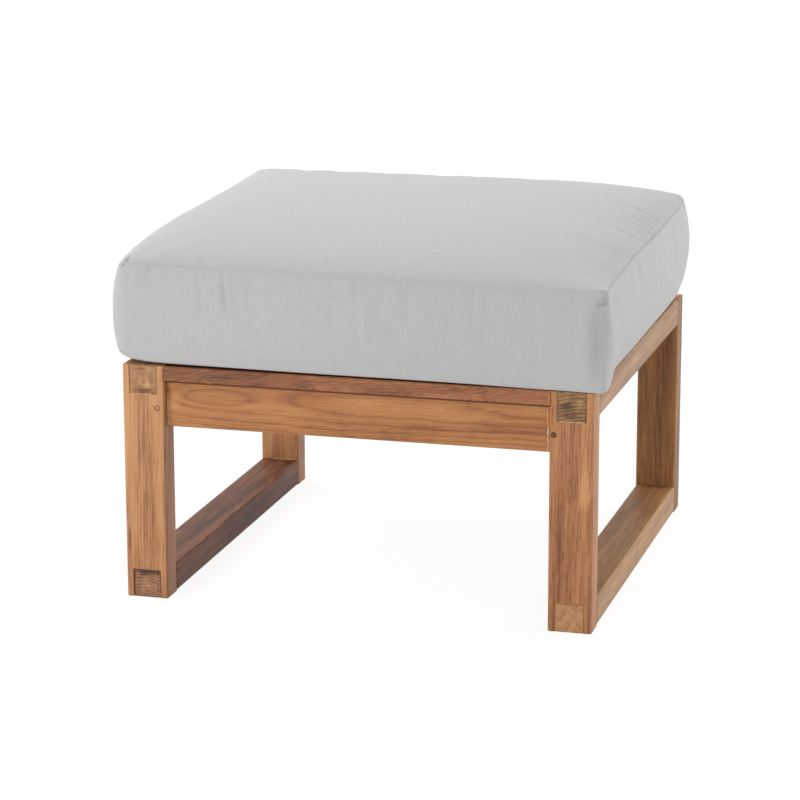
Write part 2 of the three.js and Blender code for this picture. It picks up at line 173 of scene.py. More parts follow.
def teak(
    name, pale, body, dark, ring_gap=0.0042, ring_share=0.2, pores=0.2, fibre=1.25, gloss=0.5, figures=(), sawn=False
):
    """Bare sanded teak: fine brown fibre, dark pores and rings, with a soft satin sheen at low angles.

    A figure is a knot or patch: its place, its size, how much paler it is, and how far it pushes the rings.
    """
    material, tree = start_material(name)
    place = add_node(tree, "Attribute", attribute_name="grain").outputs["Vector"]
    slow = add_node(tree, "VectorMath", {0: place, 1: DRIFT}, operation="MULTIPLY")
    drift = add_node(tree, "TexNoise", {"Vector": slow, "Scale": 1.0, "Detail": 2.5}).outputs["Color"]
    centred = add_node(tree, "VectorMath", {0: drift, 1: (0.5, 0.5, 0.5)}, operation="SUBTRACT")
    stray = SAWN_WANDER if sawn else WANDER
    bend = add_node(tree, "VectorMath", {0: centred, 1: (0, stray, stray)}, operation="MULTIPLY")
    bent = pushed = add_node(tree, "VectorMath", {0: place, 1: bend}, operation="ADD")
    shares = [figure_share(tree, centre, size) for centre, size, paler, push in figures]
    for share, (centre, size, paler, push) in zip(shares, figures):
        shift = add_node(tree, "VectorMath", {0: (0, push, push), "Scale": share}, operation="SCALE")
        pushed = add_node(tree, "VectorMath", {0: pushed, 1: shift}, operation="ADD")
    wave = {"Vector": pushed, "Scale": WAVE / ring_gap, "Distortion": 0.9, "Detail": 2.0, "Detail Scale": 0.6}
    rings = add_node(tree, "TexWave", wave, wave_type="RINGS", rings_direction="X", wave_profile="SAW")
    growth = add_node(tree, "ValToRGB", {0: rings.outputs["Fac"]}, stops=RING_TONES)
    tone = add_node(tree, "Math", {0: growth, 1: ring_share, 2: 0.5 - 0.75 * ring_share}, operation="MULTIPLY_ADD")
    grains = SAWN_GRAINS if sawn else ((FIBRE, 3.0, fibre), (BAND, 2.0, fibre), (CLOUD, 2.0, 0.5))
    parts = []
    for (length, width), detail, weight in grains:
        streak = flecks(tree, bent, (length, width, width), detail)
        parts.append(add_node(tree, "Math", {0: streak, 1: weight, 2: -weight / 2}, operation="MULTIPLY_ADD"))
    length, width = SAWN_PORE if sawn else PORE
    specks = flecks(tree, bent, (length, width, width), 1.0)
    low, high = PORE_RANGE
    parts.append(add_node(tree, "MapRange", {"Value": specks, "From Min": low, "From Max": high, "To Max": -pores}))
    parts.append(add_node(tree, "Attribute", attribute_name="shade").outputs["Fac"])
    for share, (centre, size, paler, push) in zip(shares, figures):
        parts.append(add_node(tree, "Math", {0: share, 1: paler}, operation="MULTIPLY"))
    for part in parts:
        tone = add_node(tree, "Math", {0: tone, 1: part}, operation="ADD")
    colour = add_node(tree, "ValToRGB", {0: tone}, stops=[(0.05, dark), (0.5, body), (0.95, pale)])
    constants = {"Roughness": 0.62 if sawn else 0.5, "Specular IOR Level": gloss, "IOR": 1.5}
    return finish_material(material, colour, tone, (0.3, 0.0003), constants)


teak_honey = teak("teak_honey", "#d29c68", "#ba8250", "#8a5630")
teak_light = teak(
    "teak_light_honey", "#dda873", "#c88e5e", "#905b36", ring_share=0.12,
    figures=[((-0.3243, -0.325, 0.083), (0.003, 0.01, 0.028), -0.6, 0.004)],
)
teak_brown = teak(
    "teak_brown", "#d59b68", "#b87b4e", "#7e4b2a", ring_share=0.12, pores=0.35,
    figures=[
        ((0.3185, -0.325, 0.196), (0.0105, 0.012, 0.042), 0.6, 0.004),
        ((0.2850, -0.325, 0.120), (0.012, 0.012, 0.060), -0.22, 0.002),
    ],
)
teak_orange = teak(
    "teak_orange", "#d4965e", "#ba7b46", "#8a512a", ring_gap=0.0048, ring_share=0.42, fibre=0.8,
    figures=[
        ((-0.205, -0.313, 0.292), (0.085, 0.02, 0.024), 0.08, 0.008),
        ((-0.262, -0.313, 0.283), (0.016, 0.02, 0.022), 0.45, 0.0),
    ],
)
teak_red = teak(
    "teak_reddish", "#bd7d52", "#985d38", "#5e341c", ring_gap=0.0036, ring_share=0.3, fibre=1.0,
    figures=[
        ((-0.195, -0.325, 0.322), (0.050, 0.02, 0.012), -0.12, 0.012),
        ((-0.070, -0.325, 0.318), (0.022, 0.02, 0.012), -0.25, 0.010),
        ((0.030, -0.325, 0.322), (0.070, 0.02, 0.012), -0.12, 0.010),
        ((0.120, -0.325, 0.316), (0.060, 0.02, 0.012), 0.2, -0.009),
        ((0.225, -0.325, 0.316), (0.050, 0.02, 0.010), -0.1, 0.010),
    ],
)
# A darker, duller teak for the left bottom rail: its own tone, with painted shade of the deck above it in its colour.
teak_umber = teak("teak_umber", "#a97a58", "#815238", "#4c2d1d", gloss=0.2)
teak_deep = teak("teak_deep", "#ba824a", "#9c6a38", "#69401e")
teak_pale = teak("teak_pale", "#c9a27a", "#b48a60", "#8f6641")
teak_tan = teak("teak_tan", "#c89a66", "#ae7f4c", "#80562f")
end_tan = teak(
    "teak_end_tan", "#d8a676", "#b9865a", "#744a30", 0.0040, 0.16, sawn=True,
    figures=[
        ((-0.300, -0.325, 0.2965), (0.021, 0.02, 0.0075), -0.5, 0.002),
        ((-0.293, -0.325, 0.3045), (0.007, 0.02, 0.007), 0.5, 0.002),
        ((-0.306, -0.325, 0.3270), (0.016, 0.02, 0.004), -0.3, 0.0),
    ],
)
# Its first figure darkens the tenon's top: painted shade of the recess that the tenon sits back in.
end_rosy = teak(
    "teak_end_rosy", "#c8926c", "#a87654", "#4a2e20", 0.0046, 0.36, sawn=True,
    figures=[
        ((-0.300, -0.323, 0.0385), (0.026, 0.02, 0.0095), -0.6, 0.001),
        ((-0.300, -0.323, 0.0170), (0.016, 0.02, 0.012), 0.2, 0.0),
    ],
)
end_olive = teak(
    "teak_end_olive", "#bf9462", "#91693f", "#432d18", 0.0050, 0.62, sawn=True,
    figures=[
        ((0.293, -0.325, 0.3130), (0.017, 0.02, 0.0065), -0.4, 0.003),
        ((0.312, -0.325, 0.3190), (0.010, 0.02, 0.0055), 0.35, 0.002),
        ((0.300, -0.325, 0.2990), (0.018, 0.02, 0.0045), -0.25, 0.002),
    ],
)
end_buff = teak("teak_end_buff", "#d6a676", "#c4905f", "#8c6040", 0.0150, 0.3, sawn=True)
teak_end = teak("teak_end_grain", "#b48a60", "#8d6743", "#4b3320", 0.0038, 0.6, sawn=True)


# Shaping
SHARP_TURN = 35  # degrees, past which an edge stays sharp in the shading
TOUCH = 0.0001  # a point this near to a plane counts as on it


def deselect():
    for thing in bpy.context.view_layer.objects:
        thing.select_set(False)


def choose(piece):
    """Makes a piece the only selected one and the active one."""
    deselect()
    piece.select_set(True)
    bpy.context.view_layer.objects.active = piece


def mode(name):
    bpy.ops.object.mode_set(mode=name)


def select_all(piece):
    """Selects the whole mesh, in edit mode."""
    choose(piece)
    mode("EDIT")
    bpy.ops.mesh.select_all(action="SELECT")


def apply_modifier(piece, kind, **settings):
    """Adds a modifier with its settings and applies it."""
    choose(piece)
    modifier = piece.modifiers.new(kind.title(), kind)
    for name, value in settings.items():
        setattr(modifier, name, value)
    bpy.ops.object.modifier_apply(modifier=modifier.name)


def repeat_along_x(piece, gap, count):
    """Copies of the piece in a row."""
    offset = {"use_relative_offset": False, "use_constant_offset": True, "constant_offset_displace": (gap, 0, 0)}
    apply_modifier(piece, "ARRAY", count=count, **offset)


def points_of(piece, field="co"):
    """The places or the normals of the piece's points as an array."""
    points = np.zeros(len(piece.data.vertices) * 3)
    piece.data.vertices.foreach_get(field, points)
    return points.reshape(-1, 3)


def move_points(piece, points):
    piece.data.vertices.foreach_set("co", np.asarray(points, float).ravel())
    piece.data.update()


def edge_turns(mesh):
    """For each edge the angle between its two faces in degrees, positive where the edge is convex."""
    faces_of = {}
    for face in mesh.polygons:
        for key in face.edge_keys:
            faces_of.setdefault(key, []).append(face)
    turns = []
    for edge in mesh.edges:
        faces = faces_of.get(edge.key, [])
        if len(faces) != 2:
            turns.append(0.0)
            continue
        first, second = faces
        angle = math.degrees(first.normal.angle(second.normal, 0))
        convex = first.normal.dot(second.center - first.center) < 0
        turns.append(angle if convex else -angle)
    return turns


def pick_edges(piece, wanted):
    """Selects the edges for which wanted(length, turn, middle) holds, in edit mode."""
    choose(piece)
    mode("OBJECT")
    mesh = piece.data
    turns = edge_turns(mesh)
    for item in (*mesh.vertices, *mesh.polygons):
        item.select = False
    found = 0
    for edge, turn in zip(mesh.edges, turns):
        start, end = (mesh.vertices[i].co for i in edge.vertices)
        edge.select = wanted((end - start).length, turn, (start + end) / 2)
        found += edge.select
    mode("EDIT")
    bpy.ops.mesh.select_mode(type="EDGE")
    return found


def pick_faces(piece, wanted):
    """Selects the faces for which wanted(normal, middle) holds, in edit mode."""
    choose(piece)
    mode("OBJECT")
    bpy.context.tool_settings.mesh_select_mode = (False, False, True)
    for item in (*piece.data.vertices, *piece.data.edges):
        item.select = False
    for face in piece.data.polygons:
        face.select = wanted(face.normal, face.center)
    mode("EDIT")


def picked_corners(piece):
    return {corner for face in piece.data.polygons if face.select for corner in face.vertices}


def bevel_edges(piece, offset, segments, wanted=lambda length, turn, middle: turn > 60, merge=False):
    """Rounds the edges that are wanted. Merging joins points that two bevels leave in one place."""
    if pick_edges(piece, wanted):
        bpy.ops.mesh.bevel(offset=offset, segments=segments, affect="EDGES", clamp_overlap=True)
    if merge:
        bpy.ops.mesh.select_all(action="SELECT")
        bpy.ops.mesh.remove_doubles(threshold=0.000001)
    mode("OBJECT")


def cut(piece, axis, *places):
    """Cuts new edges through the piece, square to an axis, at each place along it."""
    for place in places:
        select_all(piece)
        middle, normal = [0.0, 0.0, 0.0], [0, 0, 0]
        middle[axis], normal[axis] = place, 1
        bpy.ops.mesh.bisect(plane_co=middle, plane_no=normal)
        mode("OBJECT")


def block(name, low, high):
    """A cube of a given size and place, with its place in its mesh."""
    low, high = Vector(low), Vector(high)
    deselect()
    bpy.ops.mesh.primitive_cube_add(size=1, location=(low + high) / 2)
    piece = bpy.context.object
    piece.name = name
    piece.scale = high - low
    bpy.ops.object.transform_apply(location=True, rotation=False, scale=True)
    return piece


def joined(name, pieces):
    """Several pieces as one object."""
    deselect()
    for piece in pieces:
        piece.select_set(True)
    bpy.context.view_layer.objects.active = pieces[0]
    bpy.ops.object.join()
    pieces[0].name = name
    return pieces[0]


def smooth(piece, angle=None):
    """Smooth shading, with the edges that turn by more than the angle kept sharp."""
    choose(piece)
    if angle:
        bpy.ops.object.shade_smooth_by_angle(angle=math.radians(angle))
    else:
        bpy.ops.object.shade_smooth()


def copy_mesh(source, name):
    """A new object with its own copy of another's mesh."""
    piece = bpy.data.objects.new(name, source.data.copy())
    bpy.context.scene.collection.objects.link(piece)
    return piece


def copy_of_node(node, name):
    """A merged copy of a CAD node's mesh, its flat faces made whole."""
    piece = copy_mesh(frame["nodes"][node], name)
    piece.data.materials.clear()
    select_all(piece)
    bpy.ops.mesh.remove_doubles(threshold=0.00002)
    bpy.ops.mesh.dissolve_limited(angle_limit=math.radians(1.5))
    mode("OBJECT")
    return piece


def stand_for(piece, node, body):
    """The piece stands in for a CAD node, which is hidden, and rides on its body."""
    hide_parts(node)
    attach(piece, body)


# Boards
ARRIS_ROUNDING = 0.0011
END_EASE = 0.0005
FASTENER_REACH = 0.0035  # edges this near to a screw or a peg aren't eased
END_RIM = 0.0014
RIM_REACH = 0.014
SQUARE = 0.99  # a face whose normal agrees this well with an axis is square to it
ARRIS_ZONE = 0.0032
WORN_RADIUS = 0.0045
CUSHION_SHADOW_WIDTH = 0.03  # the front slat's top gets painted shadow this far back from its front, under the cushion's edge
CUSHION_SHADOW_SHADE = -1.1
ARRIS_SHADE = 0.1  # arrises are drawn a little paler
FINGERS = {"x": (0, 1, 2), "y": (1, 2, 0), "z": (2, 0, 1)}  # along the grain, then across it
PLAIN_RIMS = dict.fromkeys(("left", "right", "top", "bottom"), -0.3)
PEG_ROUNDING = 0.0004
FASTENERS = [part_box(name) for name in frame["nodes"] if "screw" in name or name.endswith("peg")]
front_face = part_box("left_front_post")[0].y


def near_fastener(point):
    """True on the rim of a screw hole or a peg hole."""
    for low, high in FASTENERS:
        middle = (low + high) / 2
        if max(abs(point[i] - middle[i]) - (high[i] - low[i]) / 2 for i in range(3)) < FASTENER_REACH:
            return True
    return False


def lay_grain(piece, along, pith, lean):
    """Gives the points their places in the log: along the grain, then across and through from the pith."""
    lengthwise, across, through = FINGERS[along]
    points = points_of(piece)
    local = points - (points.min(0) + points.max(0)) / 2
    grain = np.zeros_like(local)
    grain[:, 0] = local[:, lengthwise] + draw.uniform(-9, 9)
    grain[:, 1] = local[:, across] - pith[0] - lean[0] * local[:, lengthwise]
    grain[:, 2] = local[:, through] - pith[1] - lean[1] * local[:, lengthwise]
    attribute = piece.data.attributes.new("grain", "FLOAT_VECTOR", "POINT")
    attribute.data.foreach_set("vector", grain.ravel())
    return local[:, lengthwise] / np.ptp(local[:, lengthwise]) + 0.5


def frame_ends(piece, axis):
    """Insets the end faces, so that the rim round them can be darker: a glue line, and on a tenon that sits back,
    painted shade of its recess. Gives the inner points.
    """
    pick_faces(piece, lambda normal, middle: abs(normal.dot(axis)) > SQUARE)
    bpy.ops.mesh.inset(thickness=END_RIM, use_even_offset=True)
    mode("OBJECT")
    return picked_corners(piece)


def end_shade(point, low, high, rims, fade, on_rim):
    """The shade on an end face: it changes from the foot to the top, and the rim has its own by each side."""
    x, y, z = point
    shade = fade[0] + (fade[1] - fade[0]) * (z - low[2]) / (high[2] - low[2])
    if on_rim:
        gaps = {"left": x - low[0], "right": high[0] - x, "bottom": z - low[2], "top": high[2] - z}
        shade += min(rims[side] if gap < RIM_REACH else 0 for side, gap in gaps.items())
    return shade


def lay_shade(piece, axis, run, shares, painted_right_side, rims, fade, joint, inner):
    """Wood tone along the board and round its ends, with painted light or shade on its right side, by a joint and under
    the cushion.
    """
    shadow_side, arris_shadow = joint
    points = points_of(piece)
    low, high = points.min(0), points.max(0)
    shade = piece.data.attributes.new("shade", "FLOAT", "CORNER")
    for face in piece.data.polygons:
        at_end = abs(face.normal.dot(axis)) > SQUARE
        slanted = max(abs(part) for part in face.normal) < 0.97
        side = "top" if face.center.z > (low[2] + high[2]) / 2 else "bottom"
        # Painted shadow on the arris where the next board meets it; other arrises a little paler.
        edge = (arris_shadow if side == shadow_side else ARRIS_SHADE) if slanted else 0
        # Painted shadow on the front slat's top, darkest at its front, where the cushion's edge overhangs it.
        in_cushion_shadow = piece.name == "teak_front_slat" and face.normal.z > 0.97
        for loop, corner in zip(face.loop_indices, face.vertices):
            if at_end:
                value = end_shade(points[corner], low, high, rims, fade, corner not in inner)
            else:
                value = run[0] + (run[1] - run[0]) * shares[corner] + edge
                # Painted light or shade on the board's right side.
                value += painted_right_side if face.normal.x > 0.7 else 0
                if in_cushion_shadow:
                    value += CUSHION_SHADOW_SHADE * max(0, 1 - (points[corner][1] - front_face) / CUSHION_SHADOW_WIDTH)
            shade.data[loop].value = value


def wear_edge(piece):
    """Rounds the top front arris more, as wear does, by laying its narrow faces on a larger arc."""
    points = points_of(piece)
    low, high = points.min(0), points.max(0)
    share_y = np.clip((points[:, 1] - low[1]) / ARRIS_ZONE, 0, 1)
    share_z = np.clip((points[:, 2] - high[2] + ARRIS_ZONE) / ARRIS_ZONE, 0, 1)
    inside = (points[:, 1] < low[1] + ARRIS_ZONE * 1.02) & (points[:, 2] > high[2] - ARRIS_ZONE * 1.02)
    turn = (share_y + share_z) / 2 * np.pi / 2
    points[inside, 1] = (low[1] + WORN_RADIUS * (1 - np.cos(turn)))[inside]
    points[inside, 2] = (high[2] - WORN_RADIUS * (1 - np.sin(turn)))[inside]
    move_points(piece, points)


def teak_board(
    node, along, material, pith=(0.0, 0.05), lean=(0.0, 0.0), run=(0.0, 0.0), painted_right_side=0.0,
    end=(teak_end, PLAIN_RIMS, (0.0, 0.0)), joint=("none", 0.0),
):
    """A CAD board with rounded arrises, eased ends and its own run of grain."""
    piece = copy_of_node(node, "teak_" + node)
    bevel_edges(piece, ARRIS_ROUNDING, 2, lambda length, turn, middle: length > 0.015 and 40 < turn < 50)
    bevel_edges(
        piece, END_EASE, 1, lambda length, turn, middle: 60 < turn < 120 and not near_fastener(middle), merge=True
    )
    if node == "front_slat":
        wear_edge(piece)
        # A cut where the painted shadow under the cushion's edge fades out.
        cut(piece, 1, front_face + CUSHION_SHADOW_WIDTH)
    axis = Vector([1.0 if i == FINGERS[along][0] else 0.0 for i in range(3)])
    inner = frame_ends(piece, axis)
    shares = lay_grain(piece, along, pith, lean)
    end_material, rims, fade = end
    lay_shade(piece, axis, run, shares, painted_right_side, rims, fade, joint, inner)
    piece.data.materials.append(material)
    piece.data.materials.append(end_material)
    for face in piece.data.polygons:
        face.material_index = 1 if abs(face.normal.dot(axis)) > 0.85 else 0
    smooth(piece, SHARP_TURN)
    apply_modifier(piece, "WEIGHTED_NORMAL", keep_sharp=True)
    stand_for(piece, node, "frame")


# An end: its grain, how its rim is shaded by each side, and its shade at the foot and the top.
post_end = (end_buff, PLAIN_RIMS, (0.0, 0.0))
plain_end = (teak_end, PLAIN_RIMS, (0.0, 0.0))
# Each board: node, grain direction, finish, where the pith lies from its middle, across and through, how it leans, how
# the shade runs from start to end, the painted light or shade on its right side, the end's look, and an arris given
# painted shadow where the next board meets it.
# For x the pith's two are y and z, for y they are z and x, and for z they are x and y.
boards = [
    ("left_front_post", "z", teak_light, (-0.11, 0.03), (0.0, 0.01), (-0.24, 0.07), -0.28, post_end),
    ("left_rear_post", "z", teak_honey, (0.08, 0.05), (0.03, 0.0), (-0.05, -0.05), -0.38, post_end),
    ("right_front_post", "z", teak_brown, (0.05, 0.06), (0.0, 0.01), (-0.05, 0.03), 0.1, post_end),
    ("right_rear_post", "z", teak_deep, (-0.05, 0.07), (0.02, 0.03), (-0.08, 0.05), -0.15, post_end),
    ("left_top_rail", "y", teak_pale, (-0.09, 0.01), (0.02, 0.0), (0.0, 0.0), 0.0,
     (end_tan, {"left": -0.3, "right": -0.35, "top": -0.5, "bottom": -0.1}, (-0.05, 0.08))),
    # The left bottom tenon sits back in its mortise: the dark left and top of its rim and its darker top are painted
    # shade of that recess.
    ("left_bottom_rail", "y", teak_umber, (-0.045, 0.004), (0.02, 0.02), (-0.08, -0.2), -0.15,
     (end_rosy, {"left": -1.4, "right": -0.4, "top": -1.2, "bottom": -0.2}, (0.0, -0.12))),
    ("right_top_rail", "y", teak_pale, (-0.11, 0.028), (0.02, 0.02), (0.0, 0.0), -0.2,
     (end_olive, {"left": -0.35, "right": -0.1, "top": -0.1, "bottom": -0.5}, (-0.05, 0.12))),
    ("right_bottom_rail", "y", teak_tan, (0.03, -0.04), (0.02, 0.03), (-0.14, -0.14), 0.1,
     (end_buff, {"left": 0.3, "right": -0.4, "top": -0.4, "bottom": -0.1}, (0.0, 0.0))),
    ("front_apron", "x", teak_orange, (0.045, 0.0175), (-0.028, 0.03), (0.04, 0.04), 0.0, plain_end, ("top", -0.75)),
    ("rear_apron", "x", teak_honey, (-0.05, 0.01), (0.02, 0.02)),
    ("front_slat", "x", teak_red, (0.05, -0.018), (-0.05, 0.12), (-0.05, 0.12), 0.0, plain_end, ("bottom", -0.9)),
    ("rear_slat", "x", teak_red, (0.02, -0.06), (0.01, 0.02)),
    ("left_cleat", "y", teak_red, (0.04, 0.05), (0.01, 0.01)),
    ("right_cleat", "y", teak_red, (-0.04, 0.05), (0.01, 0.01)),
]
boards += [
    (f"slat_{number}", "x", teak_honey, (draw.uniform(-0.03, 0.03), -0.05), (0.01, draw.uniform(0, 0.03)))
    for number in range(1, 7)
]
for board in boards:
    teak_board(*board)

peg_finishes = {"left": (teak_light, -0.45, 0.05), "right": (teak_end, -0.6, -0.25)}
for side, (finish, rim, middle_shade) in peg_finishes.items():
    for end in ("front", "rear"):
        node = f"{side}_{end}_peg"
        peg = copy_of_node(node, "teak_" + node)
        bevel_edges(peg, PEG_ROUNDING, 2, lambda length, turn, middle: 60 < turn < 120)
        inner = frame_ends(peg, Vector((0, 1, 0)))
        lay_grain(peg, "y", (0.01, 0.012), (0.0, 0.0))
        shade = peg.data.attributes.new("shade", "FLOAT", "POINT")
        for index, item in enumerate(shade.data):
            item.value = middle_shade if index in inner else rim
        peg.data.materials.append(finish)
        smooth(peg, SHARP_TURN)
        stand_for(peg, node, "frame")


# Filler lines
BEAD_STEP = 0.003
TENON_HALF = 0.0185
FLUSH_PROUD = 0.0003  # how far filler stands out of a joint that was sanded flush
INNER_PROUD = 0.0008  # and of one in an inner corner


def cured_filler(name, colour):
    """Sanded glue and wood flour in a joint: pale, dull and a little mottled."""
    material, tree = start_material(name)
    place = add_node(tree, "TexCoord").outputs["Object"]
    mottle = add_node(tree, "TexNoise", {"Vector": place, "Scale": 420.0, "Detail": 2.0})
    tone = add_node(tree, "ValToRGB", {0: mottle}, stops=[(0.35, "#b98250"), (0.6, colour)])
    return finish_material(material, tone, mottle, (0.4, 0.0002), {"Roughness": 0.7})


def filler_bead(name, start, end, width, proud, material):
    """An uneven line of filler on a joint: a bar cut along its length, each ring of it thicker or thinner."""
    start, end = Vector(start), Vector(end)
    length = (end - start).length
    along = max(range(3), key=lambda axis: abs(end[axis] - start[axis]))
    half = Vector((width / 2, proud, width / 2))
    half[along] = 0
    bead = block(name, start - half, end + half)
    pick_edges(bead, lambda size, turn, middle: size > length * 0.99)
    bpy.ops.mesh.subdivide(number_cuts=max(3, round(length / BEAD_STEP)))
    mode("OBJECT")
    points = points_of(bead)
    middle = np.array((start + end) / 2)
    rings = np.unique(np.round(points[:, along], 5))
    thickness = np.array([draw.uniform(0.55, 1.3) for _ in rings])
    thickness[[0, -1]] = 0.2
    share = thickness[np.searchsorted(rings, np.round(points[:, along], 5))]
    for axis in {0, 1, 2} - {along}:
        points[:, axis] = middle[axis] + (points[:, axis] - middle[axis]) * share
    move_points(bead, points)
    apply_modifier(bead, "SUBSURF", levels=1, render_levels=1)
    bead.data.materials.append(material)
    smooth(bead)
    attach(bead, "frame")


pale_filler = cured_filler("pale_wood_filler", "#ead9c0")
amber_filler = cured_filler("amber_wood_filler", "#e9ab68")
apron_low, apron_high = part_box("front_apron")
tenon_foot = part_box("left_top_rail")[0].z
post_low, post_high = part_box("left_front_post")
inner_x = abs(post_high.x)
post_x = abs(post_low.x + post_high.x) / 2
rail_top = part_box("left_bottom_rail")[1].z
rear_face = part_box("left_rear_post")[0].y
# Each line: name, the face it lies on, its start and its end in x and z, its width and its filler.
for name, face, start, end, width, finish in (
    ("left_tenon", front_face, (-post_x - TENON_HALF, tenon_foot), (-post_x + 0.012, tenon_foot), 0.0017, amber_filler),
    ("right_tenon", front_face, (post_x - 0.017, tenon_foot), (post_x + TENON_HALF, tenon_foot), 0.0014, pale_filler),
    ("apron_left", apron_low.y, (-inner_x + 0.001, apron_low.z + 0.002), (-inner_x + 0.001, apron_high.z - 0.016),
     0.0022, pale_filler),
    ("apron_right", apron_low.y, (inner_x - 0.0040, apron_low.z + 0.001), (inner_x - 0.0040, apron_low.z + 0.038),
     0.0034, pale_filler),
    ("apron_right_upper", apron_low.y, (inner_x - 0.0044, apron_low.z + 0.034),
     (inner_x - 0.0044, apron_high.z - 0.004), 0.0040, amber_filler),
    ("strip_right", front_face, (inner_x - 0.0001, apron_high.z + 0.003), (inner_x - 0.0001, apron_high.z + 0.019),
     0.0018, amber_filler),
    ("left_rear_foot", rear_face, (-post_x - 0.012, rail_top), (-post_x + 0.025, rail_top), 0.0016, pale_filler),
):
    proud = FLUSH_PROUD if face == front_face else INNER_PROUD
    places = ((x, face, z) for x, z in (start, end))
    filler_bead("filler_line_" + name, *places, width, proud, finish)


# Wood screws
HEAD_RADIUS = 0.0037
HEAD_DEPTH = 0.0029
HEAD_RIM = 0.0004
SHANK_RADIUS = 0.0019
POINT_LENGTH = 0.004
RECESS_DEPTH = 0.0014
RECESS_LIMBS = (0.0022, 0.0008)  # how far a cross recess reaches out, and in between


def satin_metal(name, colour, roughness, grit):
    """Tumbled metal: an even soft shine with a fine grain that dulls it in patches."""
    material, tree = start_material(name)
    place = add_node(tree, "TexCoord").outputs["Object"]
    fine = add_node(tree, "TexNoise", {"Vector": place, "Scale": 0.5 / grit, "Detail": 2.0})
    span = {"From Min": 0.3, "From Max": 0.7, "To Min": roughness, "To Max": roughness + 0.12}
    dull = add_node(tree, "MapRange", {"Value": fine, **span})
    return finish_material(material, linear(colour), fine, (0.15, 0.00005), {"Roughness": dull, "Metallic": 1.0})


stainless = satin_metal("satin_stainless_steel", "#b4b4b2", 0.3, 0.0004)


def push_down(distance, share, at):
    """Extrudes the selected face down and scales it about the axis."""
    bpy.ops.mesh.extrude_region_move(TRANSFORM_OT_translate={"value": (0, 0, -distance)})
    bpy.ops.transform.resize(value=(share, share, 1), center_override=(0, 0, at))


def wood_screw(length):
    """A countersunk screw along -Z with a cross recess, its head's top at the origin."""
    deselect()
    bpy.ops.mesh.primitive_cylinder_add(
        vertices=16, radius=HEAD_RADIUS, depth=HEAD_RIM, location=(0, 0, -HEAD_RIM / 2)
    )
    screw = bpy.context.object
    bpy.ops.object.transform_apply(location=True, rotation=False, scale=False)
    pick_faces(screw, lambda normal, middle: normal.z < -0.9)
    push_down(HEAD_DEPTH - HEAD_RIM, SHANK_RADIUS / HEAD_RADIUS, -HEAD_DEPTH)
    push_down(length - HEAD_DEPTH - POINT_LENGTH, 1.0, 0)
    push_down(POINT_LENGTH, 0.12, -length)
    pick_faces(screw, lambda normal, middle: normal.z > 0.9)
    bpy.ops.mesh.inset(thickness=HEAD_RADIUS - RECESS_LIMBS[0])
    mode("OBJECT")
    points = points_of(screw)
    for corner in picked_corners(screw):
        angle = math.atan2(points[corner, 1], points[corner, 0])
        reach = RECESS_LIMBS[0] if abs(math.sin(2 * angle)) < 0.5 else RECESS_LIMBS[1]
        points[corner, :2] = reach * math.cos(angle), reach * math.sin(angle)
    move_points(screw, points)
    bpy.context.tool_settings.mesh_select_mode = (False, False, True)
    mode("EDIT")
    push_down(RECESS_DEPTH, 0.6, -RECESS_DEPTH)
    mode("OBJECT")
    screw.data.materials.append(stainless)
    smooth(screw, SHARP_TURN)
    return screw


def turned(points, head, axis, spin):
    """The pattern's points with its head at a place, its shank along an axis and its cross turned."""
    turn = Vector((0, 0, -1)).rotation_difference(axis) @ Euler((0, 0, spin)).to_quaternion()
    return points @ np.array(turn.to_matrix()).T + np.array(head)


patterns = {}
for node in sorted(name for name in frame["nodes"] if "screw" in name):
    low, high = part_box(node)
    middle = (low + high) / 2
    if "cleat" in node:
        inward = 1 if middle.x < 0 else -1
        head = Vector((high.x if inward > 0 else low.x, middle.y, middle.z))
        axis, length = Vector((-inward, 0, 0)), high.x - low.x
    else:
        head, axis, length = Vector((middle.x, middle.y, high.z)), Vector((0, 0, -1)), high.z - low.z
    size = round(length, 4)
    if size not in patterns:
        patterns[size] = wood_screw(length)
    screw = copy_mesh(patterns[size], "wood_screw_" + node)
    move_points(screw, turned(points_of(screw), head, axis, draw.uniform(0, math.pi / 2)))
    stand_for(screw, node, "frame")
for pattern in patterns.values():
    bpy.data.objects.remove(pattern)


# Cushion cover
SLUB = (0.015, 0.0036)  # length and width of a thicker thread, which shows as a faint fleck in the cloth


def canvas(name, colour, pale, thread_gap):
    """Solution dyed acrylic canvas: a matte plain weave with faint slubs and a little edge sheen."""
    material, tree = start_material(name)
    place = add_node(tree, "UVMap", uv_map="cloth").outputs["UV"]
    wave = {"Vector": place, "Scale": WAVE / thread_gap, "Distortion": 0.8, "Detail": 1.0, "Detail Scale": 0.5}
    threads = [
        add_node(tree, "TexWave", wave, wave_type="BANDS", bands_direction=direction, wave_profile="SIN").outputs["Fac"]
        for direction in ("X", "Y")
    ]
    weave = add_node(tree, "Math", dict(enumerate(threads)), operation="MULTIPLY")
    slubs = [flecks(tree, place, size, 1.0) for size in ((SLUB[1], SLUB[0], 1), (SLUB[0], SLUB[1], 1))]
    both = add_node(tree, "Math", dict(enumerate(slubs)), operation="ADD")
    height = add_node(tree, "Math", {0: weave, 1: 0.4, 2: both}, operation="MULTIPLY_ADD")
    span = add_node(tree, "MapRange", {"Value": both, "From Min": 0.6, "From Max": 1.4})
    tone = add_node(tree, "ValToRGB", {0: span}, stops=[(0.0, colour), (1.0, pale)])
    # The crease attribute paints shade into the cloth along the seams, creases and hollows.
    crease = add_node(tree, "Attribute", attribute_name="crease").outputs["Fac"]
    shown = add_node(tree, "Math", {0: crease, 1: 0.15}, operation="MULTIPLY")
    sewn = add_node(tree, "MixRGB", {"Fac": shown, "Color1": tone, "Color2": linear("#2a2a2a")})
    constants = {"Roughness": 0.92, "Specular IOR Level": 0.25, "Sheen Weight": 0.12, "Sheen Roughness": 0.5}
    return finish_material(material, sewn, height, (0.12, 0.0003), constants)


grey_canvas = canvas("grey_woven_canvas", "#c2c2c2", "#c9c9c9", 0.0016)

